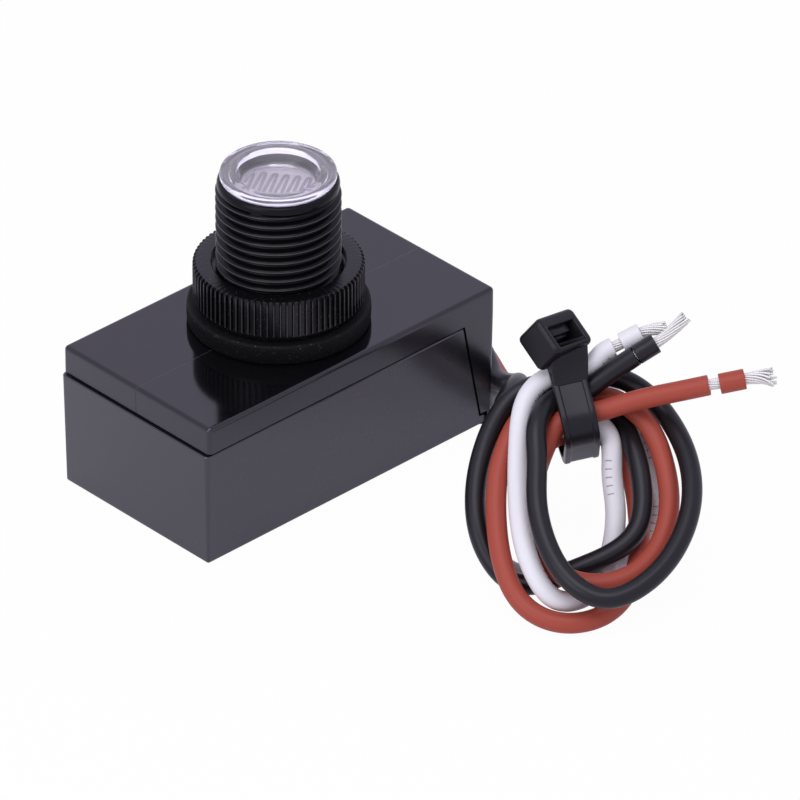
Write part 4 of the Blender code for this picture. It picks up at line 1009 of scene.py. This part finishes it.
def dashes(tree):
    """The mask of a broken row of small plain dashes along one side of a lead, in place of print."""
    around, along, _ = node(tree, "SeparateXYZ", {0: node(tree, "UVMap")[0]})
    step = maths(tree, "FRACT", maths(tree, "DIVIDE", along, DASH_PITCH))
    run = maths(tree, "FRACT", maths(tree, "DIVIDE", along, DASH_RUN))
    inked = maths(tree, "LESS_THAN", step, DASH_SHARE)
    dash = maths(tree, "MULTIPLY", inked, maths(tree, "LESS_THAN", run, 0.5))
    off = maths(tree, "ABSOLUTE", maths(tree, "SUBTRACT", around, DASH_AT))
    shown = maths(tree, "MULTIPLY", dash, maths(tree, "LESS_THAN", off, DASH_HALF))
    return maths(tree, "MULTIPLY", shown, DASH_STRENGTH)


def witness_line(tree):
    """The height of the mould's parting line: a hair of depth close to Y = 0."""
    away = maths(tree, "DIVIDE", maths(tree, "ABSOLUTE", object_axes(tree)["Y"]), WITNESS_HALF * MM)
    near = maths(tree, "SUBTRACT", 1.0, maths(tree, "MINIMUM", away, 1.0))
    return maths(tree, "MULTIPLY", near, WITNESS_DEPTH)


def marked(plain, tone, mask):
    """A colour that turns to another where a mask shows; like the mask, a function of a material's tree."""
    return lambda tree: blend(tree, mask(tree), plain, tone)


def skinned(name, inputs, fed=("Base Color", "Roughness", "Normal"), **values):
    """A material whose shader takes some inputs from the moulded skin and the rest as given. A value of the
    skin may be a function of the tree that gives a socket."""
    made = bpy.data.materials.new(name)
    made.use_nodes = True
    tree = made.node_tree
    own = {label.replace("_", " ").title(): value(tree) if callable(value) else value
           for label, value in values.items()}
    skin = node(tree, "Group", own, node_tree=SKIN)
    feed(tree, tree.nodes["Principled BSDF"], {**{label: skin[label] for label in fed}, **inputs})
    return made


def moulded(name, colour, roughness, specular=0.5, **values):
    """A moulded plastic or rubber finish; its colour is three numbers or a function of the tree."""
    colour = (*colour, 1.0) if isinstance(colour, tuple) else colour
    gloss = {"Specular IOR Level": specular, "Specular Tint": GLOSS_TINT}
    return skinned(name, gloss, colour=colour, roughness=roughness, **values)


def ray_tone(tree, plain, in_gloss):
    """A colour that is another for glossy rays, whether the camera or glass looks, and whether gloss does."""
    path = node(tree, "LightPath")
    gloss = path["Is Glossy Ray"]
    seen = maths(tree, "MAXIMUM", path["Is Camera Ray"], path["Is Transmission Ray"])
    return blend(tree, gloss, plain, in_gloss), seen, gloss


def floor_finish():
    """The floor: the camera, gloss and glass see mostly its own white, and the rest keeps the shadow."""
    made = bpy.data.materials.new("studio_floor")
    made.use_nodes = True
    tree = made.node_tree
    shader = tree.nodes["Principled BSDF"]
    feed(tree, shader, {"Base Color": (*FLOOR_COLOUR, 1.0), "Roughness": 0.9})
    tone, seen, gloss = ray_tone(tree, (1.0, 1.0, 1.0), FLOOR_IN_GLOSS)
    glow = node(tree, "Emission", {"Color": tone})[0]
    share = maths(tree, "MAXIMUM", maths(tree, "MULTIPLY", seen, FLOOR_SHOWN),
                  maths(tree, "MULTIPLY", gloss, GLOSSY_SHARE))
    mix = node(tree, "MixShader", {"Fac": share, 1: shader.outputs["BSDF"], 2: glow})[0]
    feed(tree, tree.nodes["Material Output"], {"Surface": mix})
    return made


def build_housing():
    """The housing's shells, the stem, the washer, the nut, the lens and the cell."""
    cover = piece("housing_cover_shell", cover_mesh(), "housing", PLATE, "housing_cover")
    # The cover's steep faces take the skirt's material: its lighter base colour is painted light on the
    # walls, and its higher roughness a satin finish
    cover.data.materials.append(SKIRT)
    upright = np.zeros(len(cover.data.polygons) * 3, np.float32)
    cover.data.polygons.foreach_get("normal", upright)
    steep = np.abs(upright.reshape(-1, 3)[:, 2]) < SKIRT_SLOPE
    cover.data.polygons.foreach_set("material_index", steep.astype(np.int32))
    piece("threaded_stem", stem_mesh(), "housing", STEM, "housing_cover", sharp=60.0)
    piece("housing_tray_shell", tray_mesh(), "housing", HOUSING, "housing_tray")
    piece("sealing_washer_ring", washer_mesh(), "washer", RUBBER, "sealing_washer")
    piece("lock_nut_ring", nut_mesh(), "nut", NUT, "lock_nut")
    piece("lens_cap", lens_mesh(), "housing", LENS, "lens")
    piece("light_cell_disc", cell_mesh(), "housing", CERAMIC, "light_cell")
    piece("light_cell_track", track_mesh(), "housing", TRACK, "light_cell")


def build_leads():
    """The tie, and each lead with its slug and strands."""
    tie = piece("tie_band", tie_mesh(), "housing", NYLON, "cable_tie", sharp=40.0)
    for seed, (colour, look) in enumerate(LEADS.items(), WIRE_SEED):
        way = lead_way(colour)
        heading = unit(way[-1] - way[-2])
        core = [hank(p) for p in ROUTES[colour]["core"]]
        name = f"{colour}_insulation"
        sleeve = piece(name, insulation(name, way), "housing", look, f"{colour}_lead")
        start = core[0]
        if np.linalg.norm(start - way[-1]) < 2 * CUT_GAP:
            start = way[-1] + 0.25 * CUT_GAP * unit(core[1] - way[-1])
        name = f"{colour}_slug_sleeve"
        line = np.linspace(start, core[1], 12)
        slug = piece(name, insulation(name, line, SLUG_BORE_R), "housing", look, f"{colour}_slug")
        name = f"{colour}_wires"
        line = [way[-1] - 0.5 * heading, way[-1] + CUT_GAP * heading, *core[1:]]
        bare = strands(name, line, FRAY[colour], seed)
        wires = piece(name, bare, "housing", TINNED, f"{colour}_strands", sharp=60.0)


def dress_inside():
    """Finishes for the board and its parts, which keep their own solids."""
    looks = {
        "circuit_board": BOARD, "power_relay": RELAY, "film_capacitor": FILM,
        "electrolytic_capacitor": SLEEVED, "varistor": DISC, "transistor": NUT, "zener_diode": FILM,
        "fusible_resistor": TAN, "cell_leg_near": TINNED, "cell_leg_far": TINNED,
        **{f"rectifier_diode_{n}": NUT for n in range(1, 5)}, **{f"resistor_{n}": TAN for n in range(1, 4)},
    }
    for name, look in looks.items():
        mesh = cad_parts[name].data
        mesh.materials.clear()
        mesh.materials.append(look)


def build_floor():
    """A wide pale floor, a hair under the object."""
    corners = [(x * FLOOR_HALF, y * FLOOR_HALF, FLOOR_Z) for x, y in ((-1, -1), (1, -1), (1, 1), (-1, 1))]
    mesh = bpy.data.meshes.new("studio_floor")
    mesh.from_pydata(corners, [], [(0, 1, 2, 3)])
    mesh.materials.append(floor_finish())
    add_object("studio_floor", mesh)


def build_world():
    """A pale surround, brighter for the camera and glass, and with its own tone and strength in gloss."""
    world = bpy.data.worlds.new("studio_world")
    bpy.context.scene.world = world
    world.use_nodes = True
    tree = world.node_tree
    tone, seen, gloss = ray_tone(tree, WORLD_COLOUR, WORLD_GLOSS_COLOUR)
    strength = maths(tree, "MULTIPLY_ADD", seen, WORLD_SEEN - WORLD_STRENGTH, WORLD_STRENGTH)
    strength = maths(tree, "MULTIPLY_ADD", gloss, WORLD_IN_GLOSS - WORLD_STRENGTH, strength)
    feed(tree, tree.nodes["Background"], {"Color": tone, "Strength": strength})


def build_lamps():
    """Soft lamps, each turned to the point that it aims at."""
    for name, place, aim, size, power in LAMPS:
        light = bpy.data.lights.new(name, "AREA")
        light.shape = "RECTANGLE"
        light.size, light.size_y = size
        light.energy = power
        lamp = add_object(name, light)
        lamp.location = place
        lamp.rotation_euler = (Vector(aim) - Vector(place)).to_track_quat("-Z", "Y").to_euler()


def build_camera():
    """The camera at the photograph's place."""
    data = bpy.data.cameras.new("camera")
    data.lens = CAMERA_LENS
    data.sensor_width = CAMERA_SENSOR
    data.clip_start, data.clip_end = 0.05, 20.0
    camera = add_object("camera", data)
    look = Vector(CAMERA_LOOK).normalized()
    right = Vector(CAMERA_RIGHT)
    right = (right - look * right.dot(look)).normalized()
    up = right.cross(look)
    camera.matrix_world = Matrix.Translation(CAMERA_AT) @ Matrix((right, up, -look)).transposed().to_4x4()
    bpy.context.scene.camera = camera
    bpy.context.scene.view_settings.view_transform = "Standard"


SKIN = moulded_skin()
# Mask of the painted highlights on the thread's and the nut's crests
CREST_HIGHLIGHT = crest_highlight()
PLATE = moulded("gloss_plate", (0.003, 0.0028, 0.0038), 0.1, 0.6, line=witness_line, cloud=0.05, grain=0.02,
                wave=0.25)
# Lighter than the plate's colour: painted light on the cover's walls, as well as a satin finish
SKIRT = moulded("satin_skirt_painted_light", (0.007, 0.0068, 0.010), 0.26, 0.7, line=witness_line, grain=0.05)
HOUSING = moulded("semi_gloss_tray", (0.0085, 0.0083, 0.0115), 0.28, 0.9, grain=0.05, wave=0.25)
# The lighter tone on the thread's crests is a painted highlight
THREAD_TONE = marked((0.0035, 0.0034, 0.0045), (0.06, 0.058, 0.066), crests(THREAD_R - 0.06, 0.04))
STEM = moulded("moulded_thread", THREAD_TONE, 0.2, 0.15, cloud=0.1, grain=0.3, grain_size=4200.0, wave=0.4)
# The lighter tone on the nut's ridge crests is a painted highlight
NUT_TONE = marked((0.0035, 0.0033, 0.0045), (0.035, 0.034, 0.040), crests(NUT_R - 0.1, 0.08))
NUT = moulded("satin_nylon", NUT_TONE, 0.2, 0.3, grain=0.2, wave=0.3, dust=0.25)
RUBBER = moulded("rubber_ring", (0.003, 0.003, 0.0036), 0.6, 0.12, cloud=0.12, grain=0.25, grain_size=6000.0,
                 dust=0.35)
NYLON = moulded("tie_nylon", (0.009, 0.0085, 0.011), 0.3, 0.25, cloud=0.12, grain=0.2, grain_size=3200.0,
                wave=0.5)
CERAMIC = moulded("cell_ceramic", (0.82, 0.80, 0.80), 0.35, grain=0.2)
TRACK = moulded("cell_track", (0.33, 0.285, 0.31), 0.45, grain=0.2)
BOARD = moulded("board_laminate", (0.05, 0.16, 0.07), 0.4, grain=0.4, grain_size=2600.0)
RELAY = moulded("relay_case", (0.03, 0.11, 0.35), 0.32, grain=0.3)
FILM = moulded("dipped_red", (0.42, 0.09, 0.04), 0.28, wave=0.8)
SLEEVED = moulded("can_sleeve", (0.02, 0.02, 0.03), 0.3)
DISC = moulded("dipped_blue", (0.05, 0.14, 0.36), 0.3, wave=0.8)
TAN = moulded("resistor_coat", (0.55, 0.42, 0.27), 0.4, wave=0.6)
# Each lead's colour, the colour of its dashes, its roughness and its specular level
LEAD_TONES = {
    "black": ((0.010, 0.0095, 0.012), (0.09, 0.09, 0.10), 0.34, 0.3),
    "white": ((0.80, 0.78, 0.87), (0.22, 0.20, 0.22), 0.34, 0.3),
    "red": ((0.37, 0.066, 0.045), (0.34, 0.06, 0.04), 0.42, 0.25),
}
LEADS = {colour: moulded(f"lead_{colour}_sleeve", marked(plain, dash, dashes), *rest, **INSULATION)
         for colour, (plain, dash, *rest) in LEAD_TONES.items()}
TINNED = skinned("tinned_wire", {"Metallic": 0.6}, colour=TIN_COLOUR, roughness=0.5, cloud=0.1, grain=0.0,
                 wave=0.0)
LENS = skinned("clear_lens", CLEAR, ("Roughness", "Normal"), roughness=0.06, cloud=0.03, grain=0.0, wave=0.4)

build_floor()
build_world()
build_lamps()
build_camera()
build_leads()
build_housing()
dress_inside()
